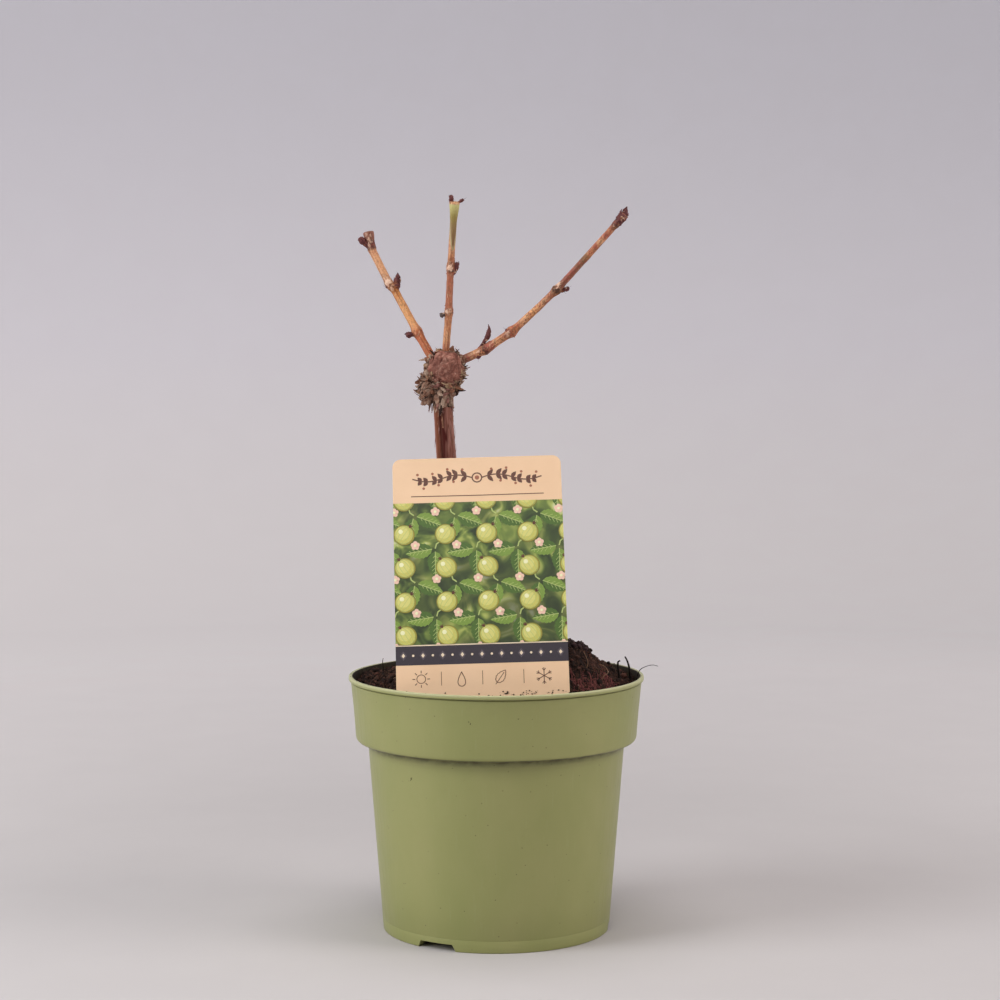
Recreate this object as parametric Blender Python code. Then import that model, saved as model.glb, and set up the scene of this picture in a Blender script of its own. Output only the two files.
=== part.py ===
"""A dormant grapevine, pruned to three short canes, in a plastic nursery pot with a plant label.

Metres, +Z up. The pot's axis is Z and its foot ring stands on z = 0. The label faces -Y.
Each object is one solid: pot, soil, trunk, head, three canes and label.
"""

import math

import bmesh
import bpy
from mathutils import Matrix, Vector, noise

# Driving dimensions, in metres and degrees.
GAP = 0.0003  # clearance between neighbouring solids
FULL_TURN = 2 * math.pi

# Pot: a tapered body under a wider, deep collar with a beaded rim.
POT_HEIGHT = 0.164
POT_WALL = 0.0013
POT_SIDES = 64
FOOT_RADIUS = 0.0730
WAIST_RADIUS = 0.0827
COLLAR_BOTTOM = 0.1222
COLLAR_LOW_RADIUS = 0.0899
COLLAR_TOP_RADIUS = 0.0937
COLLAR_CORNER = 0.0034
RIM_RADIUS = 0.0950
BEAD_HEIGHT = 0.0030
FOOT_RING = 0.0045
FLOOR_RISE = 0.0055
NOTCH_COUNT = 3
NOTCH_HEADING = 239.0
NOTCH_HEIGHT = 0.0045
NOTCH_FOOT_WIDTH = 0.0286
NOTCH_TOP_WIDTH = 0.0232
DRAIN_COUNT = 6
DRAIN_RADIUS = 0.0045
DRAIN_CIRCLE = 0.0440

# Soil: low near the wall, banked up to the rim at the back left, with the root ball
# standing proud in the middle.
SOIL_DROP = 0.0075  # below the rim, at the wall
SOIL_BANK = 0.0070
SOIL_BANK_HEADING = 135.0
MOUND_CENTRE = Vector((0.0045, 0.0050))
MOUND_TOP_RADIUS = 0.0450
MOUND_FOOT_RADIUS = 0.0835
MOUND_HEIGHT = 0.0270
MOUND_FRONT_SQUEEZE = 1.3
CLOD_CENTRE = Vector((0.0530, 0.0060))
CLOD_RADIUS = 0.0090
CLOD_HEIGHT = 0.0030
SOIL_ROUGHNESS = 0.0012
SOIL_RINGS = 12
SEAT_HEIGHT = 0.1825  # ground level at the trunk's foot
SEAT_RADIUS = 0.0130

# Trunk: from its flat cut at ground level to the neck under the head.
TRUNK_FOOT = Vector((-0.0268, 0.0000, SEAT_HEIGHT + GAP))
TRUNK_NECK = Vector((-0.0341, 0.0008, 0.3362))
TRUNK_FOOT_RADIUS = 0.0076
TRUNK_NECK_RADIUS = 0.0061
TRUNK_SWAY = 0.0010
FLARE = 0.38
FLARE_HEIGHT = 0.014
FLARE_LOBES = 5
GROOVE_DEPTH = 0.17
GROOVE_HEADING = 262.0
GROOVE_WIDTH = 26.0
TRUNK_SIDES = 18
TRUNK_RINGS = 17

# Head: the swollen knob at the top of the trunk, as blended lobes round one centre.
HEAD_CENTRE = Vector((-0.0340, 0.0010, 0.3560))
HEAD_BOTTOM = TRUNK_NECK.z + GAP
HEAD_LOBES = (  # centre and half-sizes of the body, front pad, shoulder, left lobe and neck
    (Vector((-0.0335, 0.0015, 0.3588)), (0.0120, 0.0122, 0.0130)),
    (Vector((-0.0315, -0.0050, 0.3615)), (0.0098, 0.0095, 0.0108)),
    (Vector((-0.0285, 0.0010, 0.3640)), (0.0080, 0.0080, 0.0082)),
    (Vector((-0.0443, 0.0020, 0.3470)), (0.0060, 0.0072, 0.0104)),
    (Vector((-0.0340, 0.0010, 0.3450)), (0.0082, 0.0080, 0.0130)),
)
LOBE_SHARPNESS = 5
LONGEST_REACH = 0.030
REACH_STEP = 0.0003
HEAD_ROUGHNESS = 0.0007

# Canes: the start lies inside the head. Each internode is its length, lean from the
# vertical, heading in plan from +X, radius at its far end, and swelling of the node there.
# Each bud is its distance along the cane, lean, heading, curl, length and radius.
CANE_SIDES = 12
NODE_REACH = 0.0034
TIP_REACH = 0.0070
SOCKET_LENGTH = 0.015
LEFT_CANE = {
    "start": Vector((-0.0394, -0.0010, 0.3649)),
    "start_radius": 0.0029,
    "internodes": (
        (0.0229, 32.2, 156, 0.00255, 0.32),
        (0.0351, 30.8, 157, 0.00225, 0.26),
        (0.0276, 29.9, 154, 0.00210, 0.10),
        (0.0109, 15.4, 136, 0.00215, 0.00),
    ),
    "tip_flare": 0.30,
    "buds": (
        (0.0218, 99, 187, 0, 0.0079, 0.0019),
        (0.0555, 30, -19, -18, 0.0100, 0.0018),
        (0.0574, 97, 196, 0, 0.0038, 0.0012),
        (0.0865, 66, 186, -16, 0.0116, 0.0016),
    ),
}
MIDDLE_CANE = {
    "start": Vector((-0.0329, 0.0005, 0.3644)),
    "start_radius": 0.0023,
    "internodes": (
        (0.0330, 6.5, -42, 0.00210, 0.20),
        (0.0277, 6.8, -66, 0.00198, 0.22),
        (0.0335, 6.4, -54, 0.00205, 0.04),
        (0.0085, 7.5, -65, 0.00215, 0.00),
    ),
    "tip_flare": 0.55,
    "buds": (
        (0.0321, 111, 190, 0, 0.0061, 0.0014),
        (0.0562, 44, -12, -16, 0.0092, 0.0017),
        (0.0975, 26, 165, -30, 0.0102, 0.0015),
        (0.1009, 63, -10, 0, 0.0067, 0.0009),
    ),
}
RIGHT_CANE = {
    "start": Vector((-0.0260, 0.0000, 0.3643)),
    "start_radius": 0.0028,
    "internodes": (
        (0.0223, 66.3, -17, 0.00240, 0.18),
        (0.0202, 56.9, -14, 0.00198, 0.36),
        (0.0397, 48.6, -16, 0.00165, 0.45),
        (0.0559, 43.5, -18, 0.00160, 0.10),
        (0.0080, 42.1, -11, 0.00170, 0.00),
    ),
    "tip_flare": 0.52,
    "buds": (
        (0.0156, 156, -34, 0, 0.0044, 0.0016),
        (0.0138, 64, -8, -84, 0.0208, 0.0015),
        (0.0403, 37, 202, 0, 0.0036, 0.0010),
        (0.0810, 90, -7, -16, 0.0092, 0.0016),
        (0.1424, 38, -14, 0, 0.0069, 0.0013),
    ),
}
BUD_SIDES = 7
BUD_SHAPE = ((0.0, 0.85), (0.25, 0.90), (0.50, 1.00), (0.75, 0.86), (0.92, 0.45))

# Label: a thin plastic tag with rounded top corners and a short spike, leaning back.
LABEL_WIDTH = 0.1070
LABEL_HEIGHT = 0.1525
LABEL_THICKNESS = 0.0007
LABEL_CORNER = 0.0055
LABEL_CORNER_STEPS = 5
LABEL_LEAN = 21.0
LABEL_ROLL = 1.75
LABEL_ORIGIN = Vector((-0.0080, -0.0655, 0.1622))
SHOULDER_TOP = -0.0015
SHOULDER_WIDTH = 0.080
SHOULDER_DROP = -0.012
SPIKE_TOP = -0.020
SPIKE_WIDTH = 0.024
SPIKE_TAPER = -0.031
SPIKE_TIP = -0.038

COLOURS = {  # linear base colour and roughness
    "pot_plastic": ((0.270, 0.300, 0.115), 0.45),
    "potting_soil": ((0.030, 0.014, 0.009), 0.95),
    "trunk_bark": ((0.120, 0.050, 0.033), 0.80),
    "head_bark": ((0.130, 0.075, 0.055), 0.85),
    "cane_bark": ((0.460, 0.210, 0.085), 0.55),
    "label_plastic": ((0.780, 0.560, 0.380), 0.40),
}


def clear_scene():
    for old in list(bpy.data.objects):
        bpy.data.objects.remove(old)


def material(name):
    colour, roughness = COLOURS[name]
    found = bpy.data.materials.get(name) or bpy.data.materials.new(name)
    found.use_nodes = True
    shader = found.node_tree.nodes["Principled BSDF"]
    shader.inputs["Base Color"].default_value = (*colour, 1)
    shader.inputs["Roughness"].default_value = roughness
    shader.inputs["Metallic"].default_value = 0
    return found


def object_from(bm, name, material_name, smooth_below=40):
    """Makes one object of a bmesh, facing out, shaded smooth where its faces meet softly."""
    bmesh.ops.recalc_face_normals(bm, faces=bm.faces)
    mesh = bpy.data.meshes.new(name)
    bm.to_mesh(mesh)
    bm.free()
    mesh.materials.append(material(material_name))
    mesh.shade_smooth()
    mesh.set_sharp_from_angle(angle=math.radians(smooth_below))
    made = bpy.data.objects.new(name, mesh)
    bpy.context.scene.collection.objects.link(made)
    return made


def combine(target, tools, operation):
    """Joins tools to target, or cuts them from it, by one exact Boolean that is then applied."""
    gathered = bpy.data.collections.new("tools")
    bpy.context.scene.collection.children.link(gathered)
    for tool in tools:
        bpy.context.scene.collection.objects.unlink(tool)
        gathered.objects.link(tool)
    step = target.modifiers.new(operation.lower(), "BOOLEAN")
    step.operation = operation
    step.solver = "EXACT"
    step.operand_type = "COLLECTION"
    step.collection = gathered
    bpy.context.view_layer.update()
    graph = bpy.context.evaluated_depsgraph_get()
    result = bpy.data.meshes.new_from_object(target.evaluated_get(graph))
    target.modifiers.clear()
    target.data = result
    for tool in tools:
        bpy.data.objects.remove(tool)
    bpy.data.collections.remove(gathered)
    return target


def direction(lean, heading):
    lean, heading = math.radians(lean), math.radians(heading)
    return Vector(
        (
            math.sin(lean) * math.cos(heading),
            math.sin(lean) * math.sin(heading),
            math.cos(lean),
        )
    )


def smooth_step(value):
    value = min(1.0, max(0.0, value))
    return value * value * (3 - 2 * value)


def spun(profile, sides):
    """A solid of revolution about Z from a profile that starts and ends on the axis."""
    bm = bmesh.new()
    points = [bm.verts.new((radius, 0, height)) for radius, height in profile]
    edges = [bm.edges.new(pair) for pair in zip(points, points[1:])]
    bmesh.ops.spin(
        bm,
        geom=points + edges,
        cent=(0, 0, 0),
        axis=(0, 0, 1),
        angle=FULL_TURN,
        steps=sides,
        use_merge=True,
    )
    bmesh.ops.remove_doubles(bm, verts=bm.verts, dist=1e-6)
    return bm


def loft(rings, first_cap=None, last_cap=None):
    """A closed tube through rings of points, with flat ends or one point past an end."""
    bm = bmesh.new()
    loops = [[bm.verts.new(point) for point in ring] for ring in rings]
    count = len(loops[0])
    for low, high in zip(loops, loops[1:]):
        for i in range(count):
            j = (i + 1) % count
            bm.faces.new((low[i], low[j], high[j], high[i]))
    for loop, cap in ((loops[0], first_cap), (loops[-1], last_cap)):
        if cap is None:
            bm.faces.new(loop)
            continue
        point = bm.verts.new(cap)
        for i in range(count):
            bm.faces.new((loop[i], loop[(i + 1) % count], point))
    return bm


def ring_round(centre, along, radius, sides, side=None):
    """A circle of points about centre, square to the direction along."""
    across = along.cross(side or Vector((0.13, -0.97, 0.21))).normalized()
    other = along.cross(across).normalized()
    turns = [FULL_TURN * i / sides for i in range(sides)]
    return [
        centre + radius * (math.cos(turn) * across + math.sin(turn) * other)
        for turn in turns
    ]


# ---------- pot ----------


def body_radius(height):
    """Outer radius of the pot's tapered body at a height."""
    return FOOT_RADIUS + (WAIST_RADIUS - FOOT_RADIUS) * height / COLLAR_BOTTOM


def collar_radius(height):
    """Outer radius of the collar at a height, without its rounded foot."""
    share = (height - COLLAR_BOTTOM) / (POT_HEIGHT - COLLAR_BOTTOM)
    return COLLAR_LOW_RADIUS + (COLLAR_TOP_RADIUS - COLLAR_LOW_RADIUS) * share


def inner_wall():
    """Inside profile of the pot from the rim down to the floor, as radius and height."""
    ledge = COLLAR_BOTTOM + POT_WALL
    floor = FLOOR_RISE + POT_WALL
    ledge_outside = collar_radius(ledge) - POT_WALL - COLLAR_CORNER / 2
    return [
        (collar_radius(POT_HEIGHT) - POT_WALL, POT_HEIGHT),
        (collar_radius(ledge + COLLAR_CORNER) - POT_WALL, ledge + COLLAR_CORNER),
        (ledge_outside, ledge),
        (body_radius(ledge) - POT_WALL, ledge),
        (body_radius(floor) - POT_WALL, floor),
    ]


def make_pot():
    corner_low = COLLAR_BOTTOM + COLLAR_CORNER
    bead_low = POT_HEIGHT - BEAD_HEIGHT
    foot_inside = FOOT_RADIUS - FOOT_RING
    outside = [
        (0.0, FLOOR_RISE),
        (foot_inside - FLOOR_RISE, FLOOR_RISE),
        (foot_inside, 0.0),
        (FOOT_RADIUS - 0.0007, 0.0),
        (body_radius(0.0007), 0.0007),
        (body_radius(COLLAR_BOTTOM), COLLAR_BOTTOM),
        (collar_radius(corner_low) - COLLAR_CORNER, COLLAR_BOTTOM),
        (collar_radius(corner_low) - COLLAR_CORNER * 0.29, COLLAR_BOTTOM + COLLAR_CORNER * 0.29),
        (collar_radius(corner_low), corner_low),
        (collar_radius(bead_low), bead_low),
        (RIM_RADIUS - 0.0003, bead_low + 0.0005),
        (RIM_RADIUS, bead_low + 0.0013),
        (RIM_RADIUS, POT_HEIGHT - 0.0008),
        (RIM_RADIUS - 0.0008, POT_HEIGHT),
    ]
    floor_centre = [(0.0, FLOOR_RISE + POT_WALL)]
    pot = object_from(
        spun(outside + inner_wall() + floor_centre, POT_SIDES), "pot", "pot_plastic", 25
    )
    cutters = [make_notch(i) for i in range(NOTCH_COUNT)]
    cutters += [make_drain(i) for i in range(DRAIN_COUNT)]
    return combine(pot, cutters, "DIFFERENCE")


def make_notch(index):
    """Cutter for one drainage notch through the foot ring, narrower at its top."""
    half_foot, half_top = NOTCH_FOOT_WIDTH / 2, NOTCH_TOP_WIDTH / 2
    below = -0.001
    outline = [
        (-half_foot, below),
        (half_foot, below),
        (half_top, NOTCH_HEIGHT),
        (-half_top, NOTCH_HEIGHT),
    ]
    inner, outer = FOOT_RADIUS - FOOT_RING - FLOOR_RISE, FOOT_RADIUS + 0.004
    rings = [
        [Vector((radius, across, height)) for across, height in outline]
        for radius in (inner, outer)
    ]
    notch = object_from(loft(rings), f"notch_cutter_{index}", "pot_plastic")
    heading = math.radians(NOTCH_HEADING + index * 360 / NOTCH_COUNT)
    notch.data.transform(Matrix.Rotation(heading, 4, "Z"))
    return notch


def make_drain(index):
    """Cutter for one round drain hole through the raised floor."""
    heading = FULL_TURN * (index + 0.5) / DRAIN_COUNT
    centre = DRAIN_CIRCLE * Vector((math.cos(heading), math.sin(heading), 0))
    rings = [
        ring_round(centre + Vector((0, 0, height)), Vector((0, 0, 1)), DRAIN_RADIUS, 12)
        for height in (FLOOR_RISE - 0.002, FLOOR_RISE + POT_WALL + 0.002)
    ]
    return object_from(loft(rings), f"drain_cutter_{index}", "pot_plastic")


# ---------- soil ----------


def soil_level(x, y):
    """Height of the soil before the root ball is heaped on it."""
    heading = math.atan2(y, x) - math.radians(SOIL_BANK_HEADING)
    bank = SOIL_BANK * max(0.0, math.cos(heading)) ** 1.5
    outwards = smooth_step(math.hypot(x, y) / RIM_RADIUS)
    return POT_HEIGHT - SOIL_DROP + bank * outwards


def soil_height(x, y):
    """Height of the soil's surface over a point of the plan."""
    here = Vector((x, y))
    offset = here - MOUND_CENTRE
    if offset.y < 0:
        offset.y *= MOUND_FRONT_SQUEEZE
    slope = (MOUND_FOOT_RADIUS - offset.length) / (MOUND_FOOT_RADIUS - MOUND_TOP_RADIUS)
    mound_top = POT_HEIGHT - SOIL_DROP + MOUND_HEIGHT
    share = smooth_step(slope)
    height = soil_level(x, y) * (1 - share) + mound_top * share
    from_clod = (here - CLOD_CENTRE).length / CLOD_RADIUS
    height += CLOD_HEIGHT * smooth_step(1.4 - from_clod)
    near_wall = smooth_step((here.length - 0.9 * RIM_RADIUS) / (0.1 * RIM_RADIUS))
    coarse = noise.noise(Vector((x * 70, y * 70, 3.1)))
    fine = noise.noise(Vector((x * 160, y * 160, 8.7)))
    return height + SOIL_ROUGHNESS * (coarse + 0.6 * fine) * (1 - 0.7 * near_wall)


def make_soil():
    """The whole root ball and soil, filling the pot to just short of its inner wall."""
    _, collar_foot, ledge_out, ledge_in, floor = inner_wall()
    edge_radius = collar_radius(POT_HEIGHT - SOIL_DROP - SOIL_ROUGHNESS) - POT_WALL - GAP
    wall = [
        (collar_foot[0] - GAP, collar_foot[1]),
        (ledge_out[0] - GAP, ledge_out[1] + GAP),
        (ledge_in[0] - GAP, ledge_in[1] + GAP),
        (floor[0] - GAP, floor[1] + GAP),
    ]
    turns = [FULL_TURN * i / POT_SIDES for i in range(POT_SIDES)]
    rings = [
        [Vector((radius * math.cos(t), radius * math.sin(t), height)) for t in turns]
        for radius, height in reversed(wall)
    ]
    for step in range(SOIL_RINGS):
        radius = edge_radius * (1 - step / SOIL_RINGS)
        ring = []
        for t in turns:
            x, y = radius * math.cos(t), radius * math.sin(t)
            ring.append(Vector((x, y, soil_height(x, y))))
        rings.append(ring)
    top = Vector((0, 0, soil_height(0, 0)))
    soil = object_from(loft(rings, last_cap=top), "soil", "potting_soil", 60)
    seat = [
        ring_round(Vector((TRUNK_FOOT.x, TRUNK_FOOT.y, height)), Vector((0, 0, 1)), SEAT_RADIUS, 20)
        for height in (SEAT_HEIGHT, SEAT_HEIGHT + 0.03)
    ]
    seat_cutter = object_from(loft(seat), "seat_cutter", "potting_soil")
    label_slot = make_label("label_slot_cutter", grow=GAP)
    return combine(soil, [seat_cutter, label_slot], "DIFFERENCE")


# ---------- trunk and head ----------


def trunk_radius(share, turn):
    """Radius of the trunk at a share of its height and an angle round it."""
    radius = TRUNK_FOOT_RADIUS + (TRUNK_NECK_RADIUS - TRUNK_FOOT_RADIUS) * share
    height = share * (TRUNK_NECK.z - TRUNK_FOOT.z)
    flare = math.exp(-height / FLARE_HEIGHT)
    lobes = 0.65 + 0.35 * math.cos(FLARE_LOBES * turn + 0.6)
    groove_at = math.radians(GROOVE_HEADING + 25 * share)
    from_groove = (turn - groove_at + math.pi) % FULL_TURN - math.pi
    groove = math.exp(-((from_groove / math.radians(GROOVE_WIDTH)) ** 2))
    oval = 0.05 * math.cos(2 * turn + 1.1 + 1.5 * share)
    return radius * (1 + FLARE * flare * lobes - GROOVE_DEPTH * groove + oval)


def make_trunk():
    rings = []
    for step in range(TRUNK_RINGS):
        share = (step / (TRUNK_RINGS - 1)) ** 1.25
        centre = TRUNK_FOOT.lerp(TRUNK_NECK, share)
        centre.x += TRUNK_SWAY * math.sin(math.pi * share)
        centre.y -= TRUNK_SWAY * math.sin(FULL_TURN * share)
        ring = []
        for i in range(TRUNK_SIDES):
            turn = FULL_TURN * i / TRUNK_SIDES
            outwards = Vector((math.cos(turn), math.sin(turn), 0))
            ring.append(centre + trunk_radius(share, turn) * outwards)
        rings.append(ring)
    return object_from(loft(rings), "trunk", "trunk_bark", 60)


def lobe_field(point):
    """Above one inside the blended lobes of the head, below one outside."""
    total = 0.0
    for centre, half in HEAD_LOBES:
        offset = point - centre
        size = sum((offset[i] / half[i]) ** 2 for i in range(3))
        total += math.exp(LOBE_SHARPNESS * (1 - size))
    return total


def head_reach(ray):
    """Distance from the head's centre to its surface along a ray."""
    reach = LONGEST_REACH
    while reach > REACH_STEP and lobe_field(HEAD_CENTRE + ray * reach) < 1:
        reach -= REACH_STEP
    return reach + HEAD_ROUGHNESS * noise.noise(ray * 3.3)


def make_head():
    bm = bmesh.new()
    bmesh.ops.create_icosphere(bm, subdivisions=4, radius=1)
    for vert in bm.verts:
        ray = vert.co.normalized()
        vert.co = HEAD_CENTRE + ray * head_reach(ray)
    cut = bmesh.ops.bisect_plane(
        bm,
        geom=bm.verts[:] + bm.edges[:] + bm.faces[:],
        plane_co=(0, 0, HEAD_BOTTOM),
        plane_no=(0, 0, -1),
        clear_outer=True,
    )
    rim = [part for part in cut["geom_cut"] if isinstance(part, bmesh.types.BMEdge)]
    bmesh.ops.holes_fill(bm, edges=rim)
    head = object_from(bm, "head", "head_bark", 60)
    sockets = [
        make_limb(spec, f"socket_cutter_{i}", SOCKET_LENGTH, GAP)
        for i, spec in enumerate((LEFT_CANE, MIDDLE_CANE, RIGHT_CANE))
    ]
    return combine(head, sockets, "DIFFERENCE")


# ---------- canes ----------


def node_places(spec):
    """Distances along a cane of its start, its nodes and its cut tip."""
    places = [0.0]
    for internode in spec["internodes"]:
        places.append(places[-1] + internode[0])
    return places


def point_along(spec, distance):
    """Point, direction and radius of a cane at a distance from its start."""
    places = node_places(spec)
    point = spec["start"].copy()
    thick = spec["start_radius"]
    for index, (length, lean, heading, radius, _) in enumerate(spec["internodes"]):
        along = direction(lean, heading)
        if distance <= places[index + 1] or index == len(spec["internodes"]) - 1:
            break
        point += along * length
        thick = radius
    share = (distance - places[index]) / length
    point += along * length * share
    radius = thick + (radius - thick) * share
    swell = 0.0
    for place, internode in zip(places[1:], spec["internodes"]):
        swell += internode[4] * math.exp(-(((distance - place) / NODE_REACH) ** 2))
    flare = spec["tip_flare"] * math.exp(-(((places[-1] - distance) / TIP_REACH) ** 2))
    return point, along, radius * (1 + swell + flare)


def limb_samples(spec, until):
    """Distances at which a cane gets a ring: close together at its nodes, sparse between."""
    places = node_places(spec)
    steps = {0.0, until}
    for place in places[1:-1]:
        steps |= {place + share * NODE_REACH for share in (-1.6, -0.8, 0.0, 0.8, 1.6)}
    for low, high in zip(places, places[1:]):
        steps.add((low + high) / 2)
    steps |= {places[-1] - share * TIP_REACH for share in (1.4, 0.9, 0.5)}
    kept = [0.0]
    for step in sorted(step for step in steps if 0 < step <= until):
        if step - kept[-1] > 0.0008:
            kept.append(step)
    kept[-1] = until
    return kept


def make_limb(spec, name, until, grow=0.0):
    """A cane as one tapering tube. Grown by a clearance and cut short, it is its own socket."""
    rings = []
    for distance in limb_samples(spec, until):
        point, along, radius = point_along(spec, distance)
        if distance == 0.0:
            point = point - along * grow
        radius += grow / math.cos(math.pi / CANE_SIDES)
        rings.append(ring_round(point, along, radius, CANE_SIDES))
    return object_from(loft(rings), name, "cane_bark", 50)


def make_bud(spec, index, cane_name):
    """One bud, stub or spur that grows from the cane's own axis and may curl as it goes."""
    distance, lean, heading, curl, length, radius = spec["buds"][index]
    point, _, _ = point_along(spec, distance)
    rings = []
    before = 0.0
    for share, width in BUD_SHAPE + ((1.0, 0.0),):
        along = direction(lean + curl * (share + before) / 2, heading)
        point = point + along * length * (share - before)
        before = share
        rings.append(ring_round(point, along, radius * width, BUD_SIDES))
    return object_from(
        loft(rings[:-1], last_cap=point), f"{cane_name}_bud_{index}", "cane_bark"
    )


def make_cane(spec, name):
    cane = make_limb(spec, name, node_places(spec)[-1])
    buds = [make_bud(spec, index, name) for index in range(len(spec["buds"]))]
    return combine(cane, buds, "UNION")


# ---------- label ----------


def label_outline(grow):
    """Outline of the tag, across and up its face, anticlockwise from the spike's tip."""
    half = LABEL_WIDTH / 2
    low_side = [
        (0.0, SPIKE_TIP - grow),
        (SPIKE_WIDTH / 2 + grow, SPIKE_TAPER),
        (SPIKE_WIDTH / 2 + grow, SPIKE_TOP - grow),
        (SHOULDER_WIDTH / 2 + grow, SHOULDER_DROP - grow),
        (half + grow, SHOULDER_TOP - grow),
    ]
    corner = (half - LABEL_CORNER, LABEL_HEIGHT - LABEL_CORNER)
    arc = []
    for step in range(LABEL_CORNER_STEPS + 1):
        turn = math.pi / 2 * step / LABEL_CORNER_STEPS
        radius = LABEL_CORNER + grow
        arc.append((corner[0] + radius * math.cos(turn), corner[1] + radius * math.sin(turn)))
    right = low_side + arc
    left = [(-across, up) for across, up in reversed(right[1:])]
    return right + left


def make_label(name, grow=0.0):
    bm = bmesh.new()
    front = -LABEL_THICKNESS / 2 - grow
    corners = [bm.verts.new((across, front, up)) for across, up in label_outline(grow)]
    face = bm.faces.new(corners)
    grown = bmesh.ops.extrude_face_region(bm, geom=[face])
    moved = [part for part in grown["geom"] if isinstance(part, bmesh.types.BMVert)]
    bmesh.ops.translate(bm, verts=moved, vec=(0, LABEL_THICKNESS + 2 * grow, 0))
    roll = Matrix.Rotation(math.radians(-LABEL_ROLL), 4, "Y")
    lean = Matrix.Rotation(math.radians(-LABEL_LEAN), 4, "X")
    bmesh.ops.transform(bm, matrix=Matrix.Translation(LABEL_ORIGIN) @ lean @ roll, verts=bm.verts)
    return object_from(bm, name, "label_plastic", 30)


def main():
    clear_scene()
    make_pot()
    make_soil()
    make_trunk()
    make_head()
    make_cane(LEFT_CANE, "cane_left")
    make_cane(MIDDLE_CANE, "cane_middle")
    make_cane(RIGHT_CANE, "cane_right")
    make_label("label")


main()
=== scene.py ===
import math
import random

import bmesh
import bpy
import numpy as np
from mathutils import Matrix, Vector, noise


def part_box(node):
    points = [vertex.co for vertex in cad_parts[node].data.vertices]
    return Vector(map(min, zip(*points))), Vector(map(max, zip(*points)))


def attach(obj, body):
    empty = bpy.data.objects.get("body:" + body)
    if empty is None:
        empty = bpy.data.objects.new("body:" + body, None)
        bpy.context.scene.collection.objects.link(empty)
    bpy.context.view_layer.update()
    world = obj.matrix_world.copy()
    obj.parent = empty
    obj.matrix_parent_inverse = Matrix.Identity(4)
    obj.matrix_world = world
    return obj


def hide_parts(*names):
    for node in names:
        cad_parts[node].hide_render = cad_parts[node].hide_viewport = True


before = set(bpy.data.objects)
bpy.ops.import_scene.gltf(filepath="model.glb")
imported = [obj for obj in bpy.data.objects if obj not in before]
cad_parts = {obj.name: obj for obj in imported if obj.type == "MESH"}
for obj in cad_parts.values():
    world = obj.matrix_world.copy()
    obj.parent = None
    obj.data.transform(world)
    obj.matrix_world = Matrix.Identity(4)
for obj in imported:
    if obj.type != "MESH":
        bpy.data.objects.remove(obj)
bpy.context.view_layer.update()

print("packed model loaded:", sorted(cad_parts))

fullTurn = 2 * math.pi
mm = 0.001
up = Vector((0, 0, 1))
sideHint = Vector((0.13, -0.97, 0.21))  # no cane or root points this way
draw = random.Random(41)
noise.seed_set(28)  # otherwise the clock sets it, and the head differs from run to run


def smoothStep(value):
    value = min(1.0, max(0.0, value))
    return value * value * (3 - 2 * value)


def bellCurve(distance, reach):
    return math.exp(-((distance / reach) ** 2))


def direction(lean, heading):
    # lean from the vertical and heading in plan from +X, in degrees
    lean, heading = math.radians(lean), math.radians(heading)
    flat = math.sin(lean)
    return Vector((flat * math.cos(heading), flat * math.sin(heading), math.cos(lean)))


def ripple(x, y, z):
    # smooth noise from -1 to 1
    return noise.noise(Vector((x, y, z)))


def turnsRound(count):
    return [fullTurn * i / count for i in range(count)]


def anyTurn():
    return draw.uniform(0, fullTurn)


def anyWay(spread=1.0):
    return Vector([draw.gauss(0, spread) for _ in range(3)])


def onCircle(radius, turn, *height):
    # a place about the Z axis, with its height where one is given
    return (radius * math.cos(turn), radius * math.sin(turn), *height)


def turnBetween(turn, heading):
    # signed angle in radians from a heading in degrees to a turn in radians
    return (turn - math.radians(heading) + math.pi) % fullTurn - math.pi


# Node material helpers: patterns are written in millimetres of the object


def addNode(tree, kind, inputs=None, **settings):
    node = tree.nodes.new(kind)
    for key, value in settings.items():
        setattr(node, key, value)
    for key, value in (inputs or {}).items():
        feed(tree, node.inputs[key], value)
    return node


def colour(tone):
    # a screen colour of 0 to 255 as the linear colour that shaders use
    parts = [part / 255 for part in tone]
    linear = [p / 12.92 if p <= 0.04045 else ((p + 0.055) / 1.055) ** 2.4 for p in parts]
    return (*linear, 1.0)


def feed(tree, socket, value):
    # joins another node's output to a socket, or sets its number or screen colour
    if isinstance(value, bpy.types.NodeSocket):
        tree.links.new(value, socket)
    elif socket.type == "RGBA" and len(value) == 3:
        socket.default_value = colour(value)
    else:
        socket.default_value = value


def inMillimetres(tree, stretch):
    place = addNode(tree, "ShaderNodeTexCoord").outputs["Object"]
    scale = [1000 / part for part in stretch]
    return addNode(tree, "ShaderNodeMapping", {"Vector": place, "Scale": scale}).outputs[0]


def cloudy(tree, size, stretch=(1, 1, 1), detail=4.0, rough=0.55, warp=0.0):
    # soft noise whose patches measure about size millimetres
    where = inMillimetres(tree, stretch)
    values = {"Vector": where, "Scale": 1 / size, "Detail": detail, "Roughness": rough, "Distortion": warp}
    return addNode(tree, "ShaderNodeTexNoise", values).outputs[0]


def cells(tree, size, stretch=(1, 1, 1)):
    # distance from the nearest of many scattered points
    values = {"Vector": inMillimetres(tree, stretch), "Scale": 1 / size}
    return addNode(tree, "ShaderNodeTexVoronoi", values).outputs["Distance"]


def between(tree, factor, low, high, toLow=0.0, toHigh=1.0):
    # eases from toLow to toHigh as the factor passes from low to high
    values = {"Value": factor, "From Min": low, "From Max": high, "To Min": toLow, "To Max": toHigh}
    return addNode(tree, "ShaderNodeMapRange", values, interpolation_type="SMOOTHSTEP").outputs[0]


def arithmetic(tree, operation, first, second):
    return addNode(tree, "ShaderNodeMath", {0: first, 1: second}, operation=operation).outputs[0]


def times(tree, first, second):
    return arithmetic(tree, "MULTIPLY", first, second)


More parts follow.
